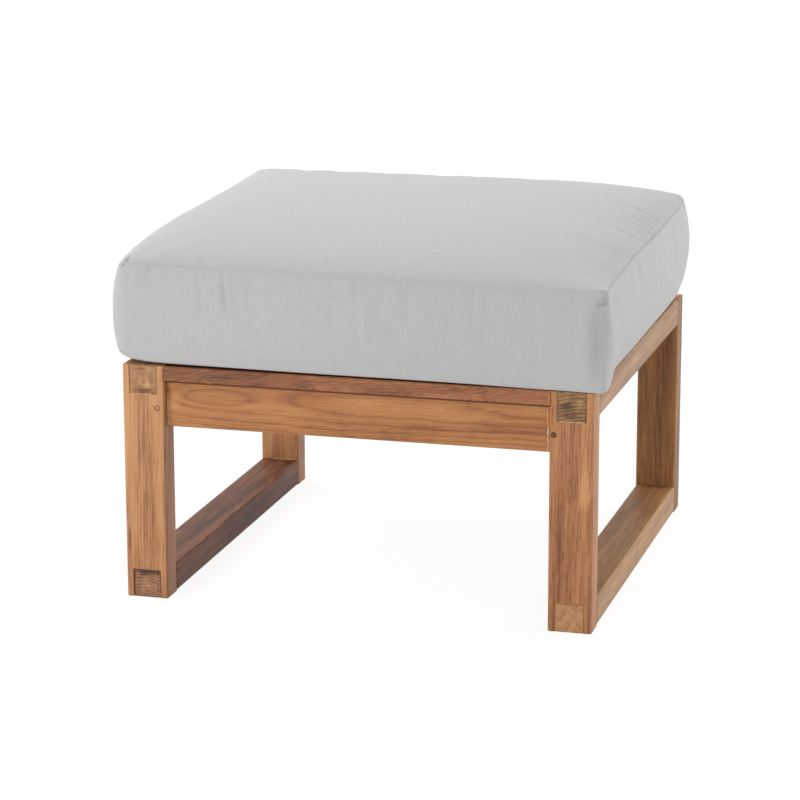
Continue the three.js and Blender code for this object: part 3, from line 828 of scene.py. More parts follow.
deck_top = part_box("cushion_cover")[0].z
CUSHION_CENTRE = (-0.0041, 0.0069)
SEAM_HALF = (0.3374, 0.3146)
UPPER_RADIUS = 0.010
LOWER_RADIUS = 0.0118
WAIST_RADIUS = 0.0104  # how much rounder a corner is half way down the boxing
BOXING_SWELL = 0.0100
SWELL_POWER = 0.89
FRONT_BOW = 0.0118
REAR_BOW = 0.0090
LOWER_SEAM = 0.0068
LOWER_REAR_RISE = 0.0072
RIGHT_DROP = 0.0056
LOWER_SHIFT = {"left": -0.0010, "right": -0.0050, "front": -0.0066, "rear": -0.0040}
UPPER_SEAM = 0.1425  # at the middle of a side
REAR_RISE = 0.0229
RIGHT_RISE = -0.009
CORNER_LIFT = 0.0046
SEAM_ARCH = (0.0046, 0.0020)
LEFT_SKEW = 0.0038
LEFT_ARCH = 0.0040  # how much higher the left seam stands in its middle
# The right seam runs a little uneven: how far it falls below its line, in tenths of a millimetre, by v.
RIGHT_FALL = (
    (-1, -0.85, -0.7, -0.45, -0.3, -0.08, 0.22, 0.5, 0.75, 0.9, 1),
    (0, 18, 24, 0, -24, 20, 48, 42, 58, 56, 0),
)
LOWER_FRONT_REACH = {"left": 0.009, "right": 0.0135}  # how far the lower front corners stand forward
CROWN = 0.0268
CROWN_PILLOW = (0.0042, 0.007)  # how high and how soon the top panel rounds up from its seams
CORNER_FULLNESS = 0.45  # how much more it does so at the front left corner
CROWN_POWERS = {"left": 6.5, "right": 4.2, "front": 3.4, "rear": 4.2}
CROWN_EDGE = 0.72  # below 1 the crown rises steeply from the seams
CROWN_LEAN = (0.261, -0.144, 0.170, 0.251, -0.115)  # by u, v, u v, u squared and v squared
UNDERSIDE_INSET = 0.0356
LEAST_CLEARANCE = 0.0005
CELL = 0.0056
SEAM_CELLS = (0.002, 0.003, 0.005, 0.007)
SEAM_PILLOW = 0.0015  # how far the boxing rounds out beside a seam
PILLOW_REACH = 0.006  # and how soon
LOWER_RIGHT_SAG = (0.0150, -0.78, 0.12)  # how far out, how far along and how gradually it ends
FACE = 0.9999  # beyond this a point of the cube lies on its face

# Corners that stand out of the even form: u and v, upper, lower or whole, how local, and the shift.
CORNER_SHIFTS = [
    (-1, -1, "lower", 16, (0.0070, 0.0, 0.0135)),
    (1, 1, "lower", 8, (-0.0050, -0.0040, 0.0020)),
    (1, -1, "upper", 8, (0.0075, 0.0012, 0.0033)),
    (1, -1, "whole", 8, (0.0030, 0.0, 0.0)),
    (1, 1, "upper", 8, (-0.0050, -0.0010, -0.0022)),
    (-1, 1, "upper", 8, (0.0022, -0.0010, -0.0018)),
    (-1, -1, "upper", 8, (0.0030, 0.0015, -0.0046)),
]


def graded(length, seam_cells, cell):
    """Places from -1 to 1 along a side, close together next to the seams at its ends."""
    middle = length - 2 * sum(seam_cells)
    count = round(middle / cell)
    gaps = [*seam_cells, *[middle / count] * count, *reversed(seam_cells)]
    return np.concatenate([[0], np.cumsum(gaps)]) / length * 2 - 1


def gridded_cube(name, counts):
    """A cube of side 2 whose faces are cut into a grid, by subdividing its edges along one axis at a time."""
    deselect()
    bpy.ops.mesh.primitive_cube_add(size=2)
    piece = bpy.context.object
    piece.name = name
    for axis, count in enumerate(counts):
        mode("OBJECT")
        mesh = piece.data
        for item in (*mesh.vertices, *mesh.polygons):
            item.select = False
        for edge in mesh.edges:
            start, end = (mesh.vertices[i].co for i in edge.vertices)
            edge.select = abs(end[axis] - start[axis]) > 1.9
        mode("EDIT")
        bpy.ops.mesh.select_mode(type="EDGE")
        bpy.ops.mesh.subdivide(number_cuts=count - 1)
    mode("OBJECT")
    return piece


def rounded_plan(u, v, grow, half, radius):
    """Maps the square's u and v to a rounded rectangle."""
    size = [half[0] + grow, half[1] + grow]
    curve = radius + grow
    places = [u * size[0], v * size[1]]
    shares = [np.clip((np.abs(p) - (s - curve)) / curve, 0, 1) for p, s in zip(places, size)]
    rounded = []
    for axis in (0, 1):
        own, other = shares[axis], shares[1 - axis]
        pulled = size[axis] - curve + curve * own * np.sqrt(1 - other**2 / 2)
        rounded.append(np.where(own > 0, np.sign(places[axis]) * pulled, places[axis]))
    return rounded


def side_tests(cube):
    """Which points lie inside the top panel, the boxing and the underside."""
    w = cube[:, 2]
    return w > FACE, np.abs(w) <= FACE, w < -FACE


def panel_inset(cube):
    """How far each point lies from its panel's nearest seam, in metres."""
    u, v, w = cube.T
    flat = np.minimum((1 - np.abs(u)) * SEAM_HALF[0], (1 - np.abs(v)) * SEAM_HALF[1])
    tall = (1 - np.abs(w)) / 2 * (UPPER_SEAM - LOWER_SEAM)
    return np.where(side_tests(cube)[1], tall, flat)


def cushion_points(cube, inset=0.0):
    """Turns points of the gridded cube into the stuffed form, drawn in all round by an inset."""
    u, v, w = cube.T
    half = [SEAM_HALF[0] - inset, SEAM_HALF[1] - inset]
    on_top, on_side, on_bottom = side_tests(cube)
    share = (w + 1) / 2
    waist = np.where(on_side, np.sin(np.pi * np.clip(share, 0, 1)), 0)
    pillow = np.where(on_side, SEAM_PILLOW * (1 - np.exp(-panel_inset(cube) / PILLOW_REACH)), 0)
    swell = BOXING_SWELL * waist**SWELL_POWER + pillow
    radius = LOWER_RADIUS + (UPPER_RADIUS - LOWER_RADIUS) * share + WAIST_RADIUS * waist
    x, y = rounded_plan(u, v, swell, half, radius)
    y += np.where(v < 0, FRONT_BOW, REAR_BOW) * v * np.cos(np.pi / 2 * u)
    x += np.where(u < 0, LEFT_SKEW, 0) * u**2 * np.sin(np.pi * v)
    x += (1 - share) * u**2 * np.where(u < 0, -LOWER_SHIFT["left"], LOWER_SHIFT["right"])
    y += (1 - share) * v**2 * np.where(v < 0, LOWER_SHIFT["front"], LOWER_SHIFT["rear"])
    reach = np.where(u < 0, LOWER_FRONT_REACH["left"], LOWER_FRONT_REACH["right"])
    y -= reach * (1 - share) ** 2 * u**4 * np.where(v < 0, v**2, 0)
    tall = UPPER_SEAM + REAR_RISE / 2 * v + RIGHT_RISE / 2 * u + CORNER_LIFT * np.abs(u * v) ** 4
    tall += SEAM_ARCH[0] * (1 - u**2) * v**2 + SEAM_ARCH[1] * (1 - v**2) * u**2 - inset
    tall += LEFT_ARCH * np.where(u < 0, u**4, 0) * (1 - v**2)
    tall -= np.interp(v, RIGHT_FALL[0], np.array(RIGHT_FALL[1]) * 1e-4) * np.where(u > 0, u**6, 0)
    low = LOWER_SEAM + LOWER_REAR_RISE / 2 * v - RIGHT_DROP * np.where(u > 0, u**2, 0)
    low = np.maximum(low, LEAST_CLEARANCE) + inset
    z = low + (tall - low) * share
    fall_u = 1 - np.abs(u) ** np.where(u < 0, CROWN_POWERS["left"], CROWN_POWERS["right"])
    fall_v = 1 - np.abs(v) ** np.where(v < 0, CROWN_POWERS["front"], CROWN_POWERS["rear"])
    lean = 1 + sum(k * term for k, term in zip(CROWN_LEAN, (u, v, u * v, u**2, v**2)))
    crown = CROWN * lean * np.maximum(fall_u * fall_v, 0) ** CROWN_EDGE
    fuller = 1 + CORNER_FULLNESS * ((1 - u) * (1 - v) / 4) ** 1.5
    crown += CROWN_PILLOW[0] * fuller * (1 - np.exp(-panel_inset(cube) / CROWN_PILLOW[1]))
    z = np.where(on_top, tall + crown, z)
    inward = np.minimum((1 - np.abs(u)) * half[0], (1 - np.abs(v)) * half[1])
    fall = np.clip(inward / UNDERSIDE_INSET, 0, 1)
    z = np.where(on_bottom, (1 - np.sin(fall * np.pi / 2)) * (low - inset) + inset, z)
    out, place, ending = LOWER_RIGHT_SAG
    x += out * (1 - share) ** 1.5 * np.where(u > 0, u**2, 0) * (1 - np.tanh((v - place) / ending)) / 2
    levels = {"upper": share**3, "lower": np.maximum(1 - share, 0) ** 3, "whole": 1}
    for side, end, level, power, shift in CORNER_SHIFTS:
        near = np.abs(u * v) ** power * (u * side > 0) * (v * end > 0) * levels[level]
        x, y, z = (place + near * move for place, move in zip((x, y, z), shift))
    return np.stack([x + CUSHION_CENTRE[0], y + CUSHION_CENTRE[1], z + deck_top], 1)


def stuffed_grid(name, seam_cells, cell):
    """The cushion's grid as a mesh on the cube, with its cells graded towards the seams."""
    lengths = (SEAM_HALF[0] * 2, SEAM_HALF[1] * 2, UPPER_SEAM - LOWER_SEAM)
    grades = [graded(length, seam_cells, cell) for length in lengths]
    piece = gridded_cube(name, [len(grade) - 1 for grade in grades])
    even = points_of(piece)
    steps = [np.rint((even[:, axis] + 1) / 2 * (len(grades[axis]) - 1)).astype(int) for axis in range(3)]
    move_points(piece, np.stack([grades[axis][steps[axis]] for axis in range(3)], 1))
    return piece


def add_group(piece, name, weights):
    """A vertex group with a weight for each point."""
    group = piece.vertex_groups.new(name=name)
    for index in np.flatnonzero(weights > 0):
        group.add([int(index)], float(weights[index]), "REPLACE")


SWELL_CAP = 0.008
SLOW_SHARE = 0.15  # of the even swelling, because the form is already the stuffed one
SLOW_ROUNDS = 24
SLACK_REACH = {"right": 0.055, "seams": 0.03, "boxing": 0.045, "right boxing": 0.06}  # metres from a seam
SLACK = {"seams": 0.3, "boxing": 0.45, "low boxing": 0.12}  # beside 1 by the right seam
WRINKLE_GAIN = {"front": 0.3, "right": 0.3, "top right": 0.15, "top front": 0.2, "other": 0.6}
CLOTH_FRAMES = 20
CLOTH_SETTINGS = {
    "quality": 6, "mass": 0.3, "tension_stiffness": 20, "compression_stiffness": 20, "shear_stiffness": 8,
    "bending_stiffness": 0.4, "use_pressure": True, "uniform_pressure_force": 4, "vertex_group_mass": "held",
    "vertex_group_shrink": "taut", "shrink_min": -0.07, "shrink_max": 0.0,
}


def smoothed(piece, values, rounds):
    """Values at the points, averaged with their neighbours a number of times."""
    ends = np.zeros(len(piece.data.edges) * 2, int)
    piece.data.edges.foreach_get("vertices", ends)
    first, second = ends.reshape(-1, 2).T
    count = np.bincount(ends, minlength=len(values))[:, None]
    for _ in range(rounds):
        total = np.zeros_like(values)
        np.add.at(total, first, values[second])
        np.add.at(total, second, values[first])
        values = (values + total) / (1 + count)
    return values


def inflate(piece, cube):
    """Blows the cover up with its seams and underside held, and caps how far each point moves."""
    u, v, w = cube.T
    start = points_of(piece)
    on_top, on_side, on_bottom = side_tests(cube)
    seams = (np.maximum(np.abs(u), np.abs(v)) > FACE) & (np.abs(w) > FACE)
    add_group(piece, "held", np.where(seams | on_bottom, 1.0, 0.0))
    to_right = (1 - u) * SEAM_HALF[0]
    below = (1 - w) / 2 * (UPPER_SEAM - LOWER_SEAM)
    gaps = {"right": to_right, "seams": panel_inset(cube), "boxing": below, "right boxing": below}
    near = {place: np.exp(-((gap / SLACK_REACH[place]) ** 2)) for place, gap in gaps.items()}
    slack = np.where(on_top, near["right"] + SLACK["seams"] * near["seams"], 0)
    slack = np.where(on_side, SLACK["boxing"] * near["boxing"] + SLACK["low boxing"], slack)
    slack = np.where(on_side & (u > FACE), near["right boxing"], slack)
    add_group(piece, "taut", np.clip(1 - slack, 0.001, 1))
    cloth = piece.modifiers.new("Cloth", "CLOTH")
    for name, value in CLOTH_SETTINGS.items():
        setattr(cloth.settings, name, value)
    cloth.settings.effector_weights.gravity = 0
    cloth.collision_settings.use_collision = False
    cloth.point_cache.frame_start = 1
    cloth.point_cache.frame_end = CLOTH_FRAMES
    scene = bpy.context.scene
    for step in range(1, CLOTH_FRAMES + 1):
        scene.frame_set(step)
    blown = points_of(piece.evaluated_get(bpy.context.evaluated_depsgraph_get()))
    piece.modifiers.remove(cloth)
    scene.frame_set(1)
    motion = blown - start
    slow = smoothed(piece, motion, SLOW_ROUNDS)
    gain = np.where(on_side & (v < -FACE), WRINKLE_GAIN["front"], WRINKLE_GAIN["other"])
    gain = np.where(on_side & (u > FACE), WRINKLE_GAIN["right"], gain)
    gain = np.where(on_top & (v < -0.2), WRINKLE_GAIN["top front"], gain)
    gain = smoothed(piece, np.where(on_top & (u > 0.5), WRINKLE_GAIN["top right"], gain)[:, None], 4)
    motion = slow * SLOW_SHARE + (motion - slow) * gain
    length = np.linalg.norm(motion, axis=1, keepdims=True)
    capped = SWELL_CAP * np.tanh(length / SWELL_CAP)
    move_points(piece, start + motion * capped / np.maximum(length, 1e-9))
    piece.vertex_groups.clear()


REAR_JOINT = 0.298  # how far from the middle the zip's panel is joined to the boxing
SEAM_SINK = 0.0012
SEAM_WIDTH = 0.0011
JOINT_WIDTH = 0.0022
FRONT_SEAM_SHARE = (0.45, 0.16)  # the front seam is pulled flat and hardly shows, less so at its left end
PUCKER_GAP = 0.011
PUCKER_SHARE = 0.35  # of the seam's own depth
PUCKER_REACH = 0.004


def sew_seams(piece, cube, hollow):
    """Draws the sewn lines in, with fine puckers along them, and marks them and the hollows with painted shade in the
    cloth's colour.
    """
    points, normals = points_of(piece), smoothed(piece, points_of(piece, "normal"), 2)
    away = panel_inset(cube)
    u, v, w = cube.T
    at_joint = np.abs(np.abs(points[:, 0]) - REAR_JOINT) * SEAM_WIDTH / JOINT_WIDTH
    away = np.where(side_tests(cube)[1] & (v > FACE), np.minimum(away, at_joint), away)
    near_front = (1 + v) * SEAM_HALF[1] < (1 - np.abs(u)) * SEAM_HALF[0]
    front_share = np.interp(u, (-0.7, -0.3), FRONT_SEAM_SHARE)
    strength = np.where(near_front & (np.abs(u) < FACE), front_share, 1.0)
    run = np.where(np.abs(u) > np.abs(v), v * SEAM_HALF[1], u * SEAM_HALF[0])
    waves = np.sin(run * 2 * np.pi / PUCKER_GAP + 2 * np.sin(run * 37))
    line = np.exp(-((away / SEAM_WIDTH) ** 2)) * strength
    sink = SEAM_SINK * line * (1 + PUCKER_SHARE * waves * np.exp(-away / PUCKER_REACH))
    move_points(piece, points - normals * sink[:, None])
    crease = piece.data.attributes.new("crease", "FLOAT", "POINT")
    crease.data.foreach_set("value", line + hollow)


# Creases of the front boxing: start and end by u and w, half width, height, and whether it fades from its start.
FRONT_FOLDS = [
    ((-0.535, 0.96), (-0.485, 0.05), 0.0032, -0.0026, False),
    ((-0.507, 0.85), (-0.465, 0.0), 0.0030, 0.0026, False),
    ((-0.43, 0.77), (-0.42, 0.05), 0.0032, 0.0013, False),
    ((-0.62, 0.8), (-0.60, 0.0), 0.0032, -0.0012, False),
    ((-0.845, 0.93), (-0.85, 0.50), 0.005, -0.0021, True),
    ((-0.90, 0.85), (-0.89, 0.45), 0.004, 0.0016, False),
    ((-0.765, 0.93), (-0.78, 0.65), 0.0045, -0.0017, True),
    ((-0.93, 0.8), (-0.93, 0.55), 0.003, -0.0009, True),
    ((-0.91, -0.37), (-0.89, -0.9), 0.003, -0.0009, False),
    ((-0.56, -0.4), (-0.55, -0.8), 0.003, -0.0007, False),
    ((0.02, 0.98), (0.04, -0.45), 0.004, -0.0009, True),
    ((0.065, 0.7), (0.07, -0.35), 0.004, 0.0011, False),
    ((0.21, 0.98), (0.22, -0.26), 0.004, -0.0009, True),
    ((0.385, 0.7), (0.39, -0.35), 0.004, -0.0009, False),
    ((0.49, 0.98), (0.49, -0.26), 0.004, -0.0008, True),
    ((0.965, 0.78), (0.962, -0.9), 0.011, -0.0030, False),
]
# All creases: panel, start and end on the gridded cube, and the rest as above.
FOLDS = [("side", (u, -1, w), (to_u, -1, to_w), *rest) for (u, w), (to_u, to_w), *rest in FRONT_FOLDS]
FOLDS += [
    ("side", (1, -0.87, 0.95), (1, -0.81, 0.3), 0.003, 0.0014, False),
    ("side", (1, -0.83, 0.9), (1, -0.75, 0.3), 0.0025, -0.0011, False),
    ("side", (1, -0.78, 0.95), (1, -0.70, 0.4), 0.003, 0.0009, False),
]
# Hollows beside the front corners: dents whose darkness is painted shade as well as depth.
HOLLOWS = [
    ("top", (-0.968, -0.955, 1), (-0.973, -1, 1), 0.0018, -0.0036, False),
    ("side", (-0.988, -1, 1), (-0.988, -1, 0.93), 0.0022, -0.0022, True),
    ("top", (0.972, -1, 1), (0.990, -1, 1), 0.0014, -0.0014, False),
    ("side", (1.0, -1, 0.742), (0.945, -1, 0.775), 0.0017, -0.0016, True),
    ("side", (0.994, -1, 0.92), (0.990, -1, 0.80), 0.0060, -0.0007, False),
    ("side", (0.978, -1, 0.75), (0.966, -1, -0.7), 0.0090, -0.0006, False),
]
# Gathers across the right seam, fine and close, in rows that fan out from it, strongest behind its middle.
GATHERS = 21
GATHER_START, GATHER_GAP = -0.42, 0.061  # by v
for step in range(GATHERS):
    back = GATHER_START + GATHER_GAP * step + draw.uniform(-0.012, 0.012)
    strongest = math.exp(-(((back - 0.28) / 0.34) ** 2))
    length = draw.uniform(0.03, 0.10) + 0.08 * strongest
    depth = draw.uniform(0.6, 1.1) * (0.25 + 0.75 * strongest)
    bent = back - draw.uniform(0.1, 0.35) * length
    FOLDS.append(("top", (1, back, 1), (1 - length, bent, 1), 0.0026, -0.0023 * depth, True))
    FOLDS.append(("side", (1, back, 1), (1, back, 1 - 1.6 * length), 0.0028, -0.0006 * depth, True))
# Dips where the filling is pulled down along the rear edge.
for across, depth in ((-0.75, 0.0022), (-0.58, 0.0016), (-0.37, 0.0016), (-0.11, 0.0020), (0.32, 0.0018)):
    FOLDS.append(("top", (across, 1, 1), (across + 0.02, 0.76, 1), 0.016, -depth, True))

HOLLOW_SHADE = 3.6  # painted shade in a deep hollow's cloth: how much darker it is than a seam
FOLD_SHADE = 0.6  # and a crease
GATHER_SHADE = 1.5  # and a gather
SHADED_DEPTH = 0.003  # the depth at which a crease is as dark as that
BROAD_FOLD = 0.01  # a broader one isn't darker


def press_folds(piece, cube):
    """Raises and sinks the creases along the panels' own directions. Gives the painted shade of each point's hollow."""
    panels = dict(zip(("top", "side", "bottom"), side_tests(cube)))
    size = np.array([SEAM_HALF[0], SEAM_HALF[1], (UPPER_SEAM - LOWER_SEAM) / 2])
    places = cube * size
    push, hollow = np.zeros(len(places)), np.zeros(len(places))
    for fold in (*FOLDS, *HOLLOWS):
        panel, start, end, width, height, fades = fold
        start, run = np.array(start) * size, (np.array(end) - np.array(start)) * size
        along = np.clip((places - start) @ run / (run @ run), 0, 1)
        away = np.linalg.norm(places - start - along[:, None] * run, axis=1)
        strength = (1 - along) ** 0.8 if fades else np.sin(np.pi * (0.08 + 0.84 * along))
        bump = np.where(panels[panel], strength * np.exp(-((away / width) ** 2)), 0)
        push += height * bump
        if height < 0 and width < BROAD_FOLD:
            shade = HOLLOW_SHADE if fold in HOLLOWS else GATHER_SHADE if panel == "top" else FOLD_SHADE
            hollow -= shade * bump * height / SHADED_DEPTH
    move_points(piece, points_of(piece) + points_of(piece, "normal") * push[:, None])
    return hollow


zip_low, zip_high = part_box("cover_zip")
CHAIN_HEIGHT = 0.0008  # the teeth stand this far proud of the tape
TAPE_THICKNESS = 0.0012
TAPE_EMBED = 0.0003
PLACKET_MARGIN = 0.0018
PLACKET_SLOPE = 0.012
zip_face = zip_high.y - CHAIN_HEIGHT
zip_middle = (zip_low + zip_high) / 2


def seat_zip(piece, cube):
    """Draws the rear boxing in to a flat bed for the zip."""
    points = points_of(piece)
    off_chain = np.abs(points[:, 2] - zip_middle.z) - (zip_high.z - zip_low.z) / 2 - PLACKET_MARGIN
    off_end = np.abs(points[:, 0]) - (zip_high.x - zip_low.x) / 2 - PLACKET_MARGIN
    share = 1 - np.clip(np.maximum(off_chain, off_end) / PLACKET_SLOPE, 0, 1)
    share = share**2 * (3 - 2 * share) * (side_tests(cube)[1] & (cube[:, 1] > FACE))
    bed = zip_face - TAPE_THICKNESS - TAPE_EMBED
    points[:, 1] += (bed - points[:, 1]) * share
    move_points(piece, points)


def map_cloth(piece, cube):
    """Lays the weave's UV map in metres, panel by panel."""
    u, v, w = cube.T
    wide, deep = u * SEAM_HALF[0], v * SEAM_HALF[1]
    high = (w + 1) / 2 * (UPPER_SEAM - LOWER_SEAM)
    layer = piece.data.uv_layers.new(name="cloth")
    flat = np.zeros((len(piece.data.loops), 2))
    for face in piece.data.polygons:
        corners = list(face.vertices)
        kind = int(np.abs(cube[corners].mean(0)).argmax())
        for loop, corner in zip(face.loop_indices, corners):
            across = (deep[corner], wide[corner], wide[corner])[kind]
            along = (high[corner], high[corner], deep[corner])[kind]
            flat[loop] = (across + kind, along)
    layer.data.foreach_set("uv", flat.ravel())


cover = stuffed_grid("cushion_cover_canvas", SEAM_CELLS, CELL)
cube = points_of(cover)
move_points(cover, cushion_points(cube))
inflate(cover, cube)
twin = copy_mesh(cover, "cloth_plan")
move_points(twin, cube)
apply_modifier(twin, "SUBSURF", levels=1, render_levels=1, subdivision_type="SIMPLE")
apply_modifier(cover, "SUBSURF", levels=1, render_levels=1)
cube = points_of(twin)
bpy.data.objects.remove(twin)
map_cloth(cover, cube)
hollow = press_folds(cover, cube)
seat_zip(cover, cube)
sew_seams(cover, cube, hollow)
cover.data.materials.append(grey_canvas)
smooth(cover)
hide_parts("cushion_cover")
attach(cover, "cushion")


# Foam core
def open_cell_foam():
    """Outdoor reticulated foam: cream, dull, with open cells that show as fine dark specks."""
    material, tree = start_material("open_cell_foam")
    place = add_node(tree, "TexCoord").outputs["Object"]
    cells = add_node(tree, "TexVoronoi", {"Vector": place, "Scale": 420.0}).outputs["Distance"]
    tone = add_node(tree, "ValToRGB", {0: cells}, stops=[(0.0, "#d8cda8"), (0.6, "#ece4c8")])
    return finish_material(material, tone, cells, (0.5, 0.0006), {"Roughness": 0.95})


FOAM_CLEARANCE = 0.014
FOAM_CELL = 0.03
FOAM_EDGE_CELLS = (0.008,)
core = stuffed_grid("cushion_foam_block", FOAM_EDGE_CELLS, FOAM_CELL)
move_points(core, cushion_points(points_of(core), FOAM_CLEARANCE))
apply_modifier(core, "SUBSURF", levels=1, render_levels=1)
core.data.materials.append(open_cell_foam())
smooth(core, 50)
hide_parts("cushion_core")
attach(core, "cushion")

# Zip
TAPE_CORD = 0.0007  # radius of the cord along each edge of the chain
TAPE_GROOVE = 0.0004  # between the two halves
TAPE_ROUNDING = 0.0003
TOOTH_PITCH = 0.0026
TOOTH_SIZE = (0.0013, 0.0008, 0.0034)  # along the chain, proud of the tape and across
TOOTH_OVERLAP = 0.0004  # how far a tooth reaches past the chain's middle
TOOTH_ROOT = 0.0002  # how deep the teeth and stops sit in the tape
TOOTH_ROUNDING = 0.00022
STOP_LENGTH = 0.0028
STOP_HALF = 0.0031
STOP_ROUNDING = 0.0003
STOP_GAPS = (0.004, 0.001)  # from the first tooth's start and the last one's end
CHAIN_INSET = 0.008
STITCH_GAP = 0.0033
STITCH_LENGTH = 0.0024
STITCH_RADIUS = 0.00028
STITCH_MARGIN = 0.0032  # from the tape's edge


def woven_tape(name, colour, pale):
    """Polyester zip tape: fine ribs along its length, matte with a slight sheen."""
    material, tree = start_material(name)
    place = add_node(tree, "TexCoord").outputs["Object"]
    ribs = []
    for direction, gap in (("Z", 0.0012), ("X", 0.0008)):
        wave = {"Vector": place, "Scale": WAVE / gap, "Distortion": 0.4, "Detail": 1.0}
        made = add_node(tree, "TexWave", wave, wave_type="BANDS", bands_direction=direction, wave_profile="SIN")
        ribs.append(made.outputs["Fac"])
    weave = add_node(tree, "Math", dict(enumerate(ribs)), operation="MULTIPLY")
    tone = add_node(tree, "ValToRGB", {0: weave}, stops=[(0.0, colour), (0.8, pale)])
    return finish_material(material, tone, weave, (0.5, 0.0002), {"Roughness": 0.8, "Sheen Weight": 0.15})


def moulded_acetal(name, colour, pale):
    """Moulded zip teeth: a smooth plastic with a soft shine and faint flow marks."""
    material, tree = start_material(name)
    place = add_node(tree, "TexCoord").outputs["Object"]
    flow = add_node(tree, "TexNoise", {"Vector": place, "Scale": 900.0, "Detail": 2.0})
    tone = add_node(tree, "ValToRGB", {0: flow}, stops=[(0.3, colour), (0.7, pale)])
    return finish_material(material, tone, flow, (0.1, 0.0001), {"Roughness": 0.42})


def bonded_thread(name, colour, pale):
    """Bonded polyester thread: a twisted strand with a slight shine."""
    material, tree = start_material(name)
    wave = {"Vector": add_node(tree, "TexCoord").outputs["Object"], "Scale": WAVE / 0.0007}
    twist = add_node(tree, "TexWave", wave, wave_type="BANDS", bands_direction="DIAGONAL").outputs["Fac"]
    tone = add_node(tree, "ValToRGB", {0: twist}, stops=[(0.0, colour), (0.7, pale)])
    return finish_material(material, tone, twist, (0.3, 0.0001), {"Roughness": 0.55})


def tape_piece():
    """Both halves of the tape, each with a corded edge at the chain and a rolled outer edge."""
    tape = block("cover_zip_tape", zip_low, (zip_high.x, zip_face, zip_high.z))
    inner = TOOTH_SIZE[2] * 0.78
    outer = inner + TAPE_CORD * 2
    cut(tape, 2, *(zip_middle.z + height for height in (inner, outer, -inner, -outer, 0)))
    points = points_of(tape)
    groove = (points[:, 1] > zip_face - TOUCH) & (np.abs(points[:, 2] - zip_middle.z) < TOUCH)
    points[groove, 1] -= TAPE_GROOVE
    move_points(tape, points)
    pick_faces(tape, lambda normal, middle: normal.y > 0.9 and inner < abs(middle.z - zip_middle.z) < outer)
    bpy.ops.mesh.extrude_region_move(TRANSFORM_OT_translate={"value": (0, TAPE_CORD * 0.8, 0)})
    mode("OBJECT")
    bevel_edges(tape, TAPE_ROUNDING, 2, lambda length, turn, middle: turn > 60 and length > 0.1)
    return tape


def chain_block(name, x, length, low, high, rounding, segments):
    """A rounded block that stands on the tape like a tooth, between two heights off the chain's middle."""
    piece = block(
        name,
        (x, zip_face - TOOTH_ROOT, zip_middle.z + low),
        (x + length, zip_face + TOOTH_SIZE[1], zip_middle.z + high),
    )
    bevel_edges(piece, rounding, segments)
    return piece


def teeth_piece(start, end):
    """Two rows of moulded teeth that mesh at the middle, as one pair of blocks repeated, and a stop at each end."""
    along, _, across = TOOTH_SIZE
    reach = across - TOOTH_OVERLAP
    lower = chain_block("tooth", start, along, -reach, TOOTH_OVERLAP, TOOTH_ROUNDING, 1)
    upper = chain_block("tooth", start + TOOTH_PITCH / 2, along, -TOOTH_OVERLAP, reach, TOOTH_ROUNDING, 1)
    teeth = joined("cover_zip_teeth", [lower, upper])
    count = int((end - start) / TOOTH_PITCH)
    repeat_along_x(teeth, TOOTH_PITCH, count)
    stops = [
        chain_block("stop", x, STOP_LENGTH, -STOP_HALF, STOP_HALF, STOP_ROUNDING, 2)
        for x in (start - STOP_GAPS[0], start + count * TOOTH_PITCH + STOP_GAPS[1])
    ]
    return joined("cover_zip_teeth", [teeth, *stops])


tape = tape_piece()
tape.data.materials.append(woven_tape("woven_zip_tape", "#8f9092", "#b4b5b7"))
smooth(tape, SHARP_TURN)
stand_for(tape, "cover_zip", "cushion")
teeth = teeth_piece(zip_low.x + CHAIN_INSET, zip_high.x - CHAIN_INSET)
teeth.data.materials.append(moulded_acetal("moulded_acetal", "#b9babc", "#c6c7c9"))
smooth(teeth, 30)
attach(teeth, "cushion")


def stitch_row(name, height, start, end):
    """A row of lockstitch on the cover's cloth: one rounded stitch, repeated and laid on the surface."""
    stitch = block(
        name, (start, -STITCH_RADIUS, -STITCH_RADIUS), (start + STITCH_LENGTH, STITCH_RADIUS, STITCH_RADIUS)
    )
    bevel_edges(stitch, STITCH_RADIUS * 0.6, 1)
    repeat_along_x(stitch, STITCH_GAP, int((end - start) / STITCH_GAP))
    mesh = cover.data
    cloth = BVHTree.FromPolygons(
        [tuple(vertex.co) for vertex in mesh.vertices], [tuple(face.vertices) for face in mesh.polygons]
    )
    points = points_of(stitch)
    points[:, 2] += height
    middles = start + np.floor((points[:, 0] - start + 0.0002) / STITCH_GAP) * STITCH_GAP + STITCH_LENGTH / 2
    for index, middle in enumerate(middles):
        hit = cloth.ray_cast(Vector((middle, 0.5, height)), Vector((0, -1, 0)))[0]
        bow = math.cos((points[index, 0] - middle) / STITCH_LENGTH * math.pi)
        points[index, 1] += hit.y + STITCH_RADIUS * (0.5 * bow + 0.2)
    move_points(stitch, points)
    stitch.data.materials.append(thread)
    smooth(stitch)
    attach(stitch, "cushion")


thread = bonded_thread("bonded_grey_thread", "#a9a9a9", "#cfcfcf")
for level, height in (("upper", zip_high.z + STITCH_MARGIN), ("lower", zip_low.z - STITCH_MARGIN)):
    stitch_row("zip_stitches_" + level, height, zip_low.x, zip_high.x)

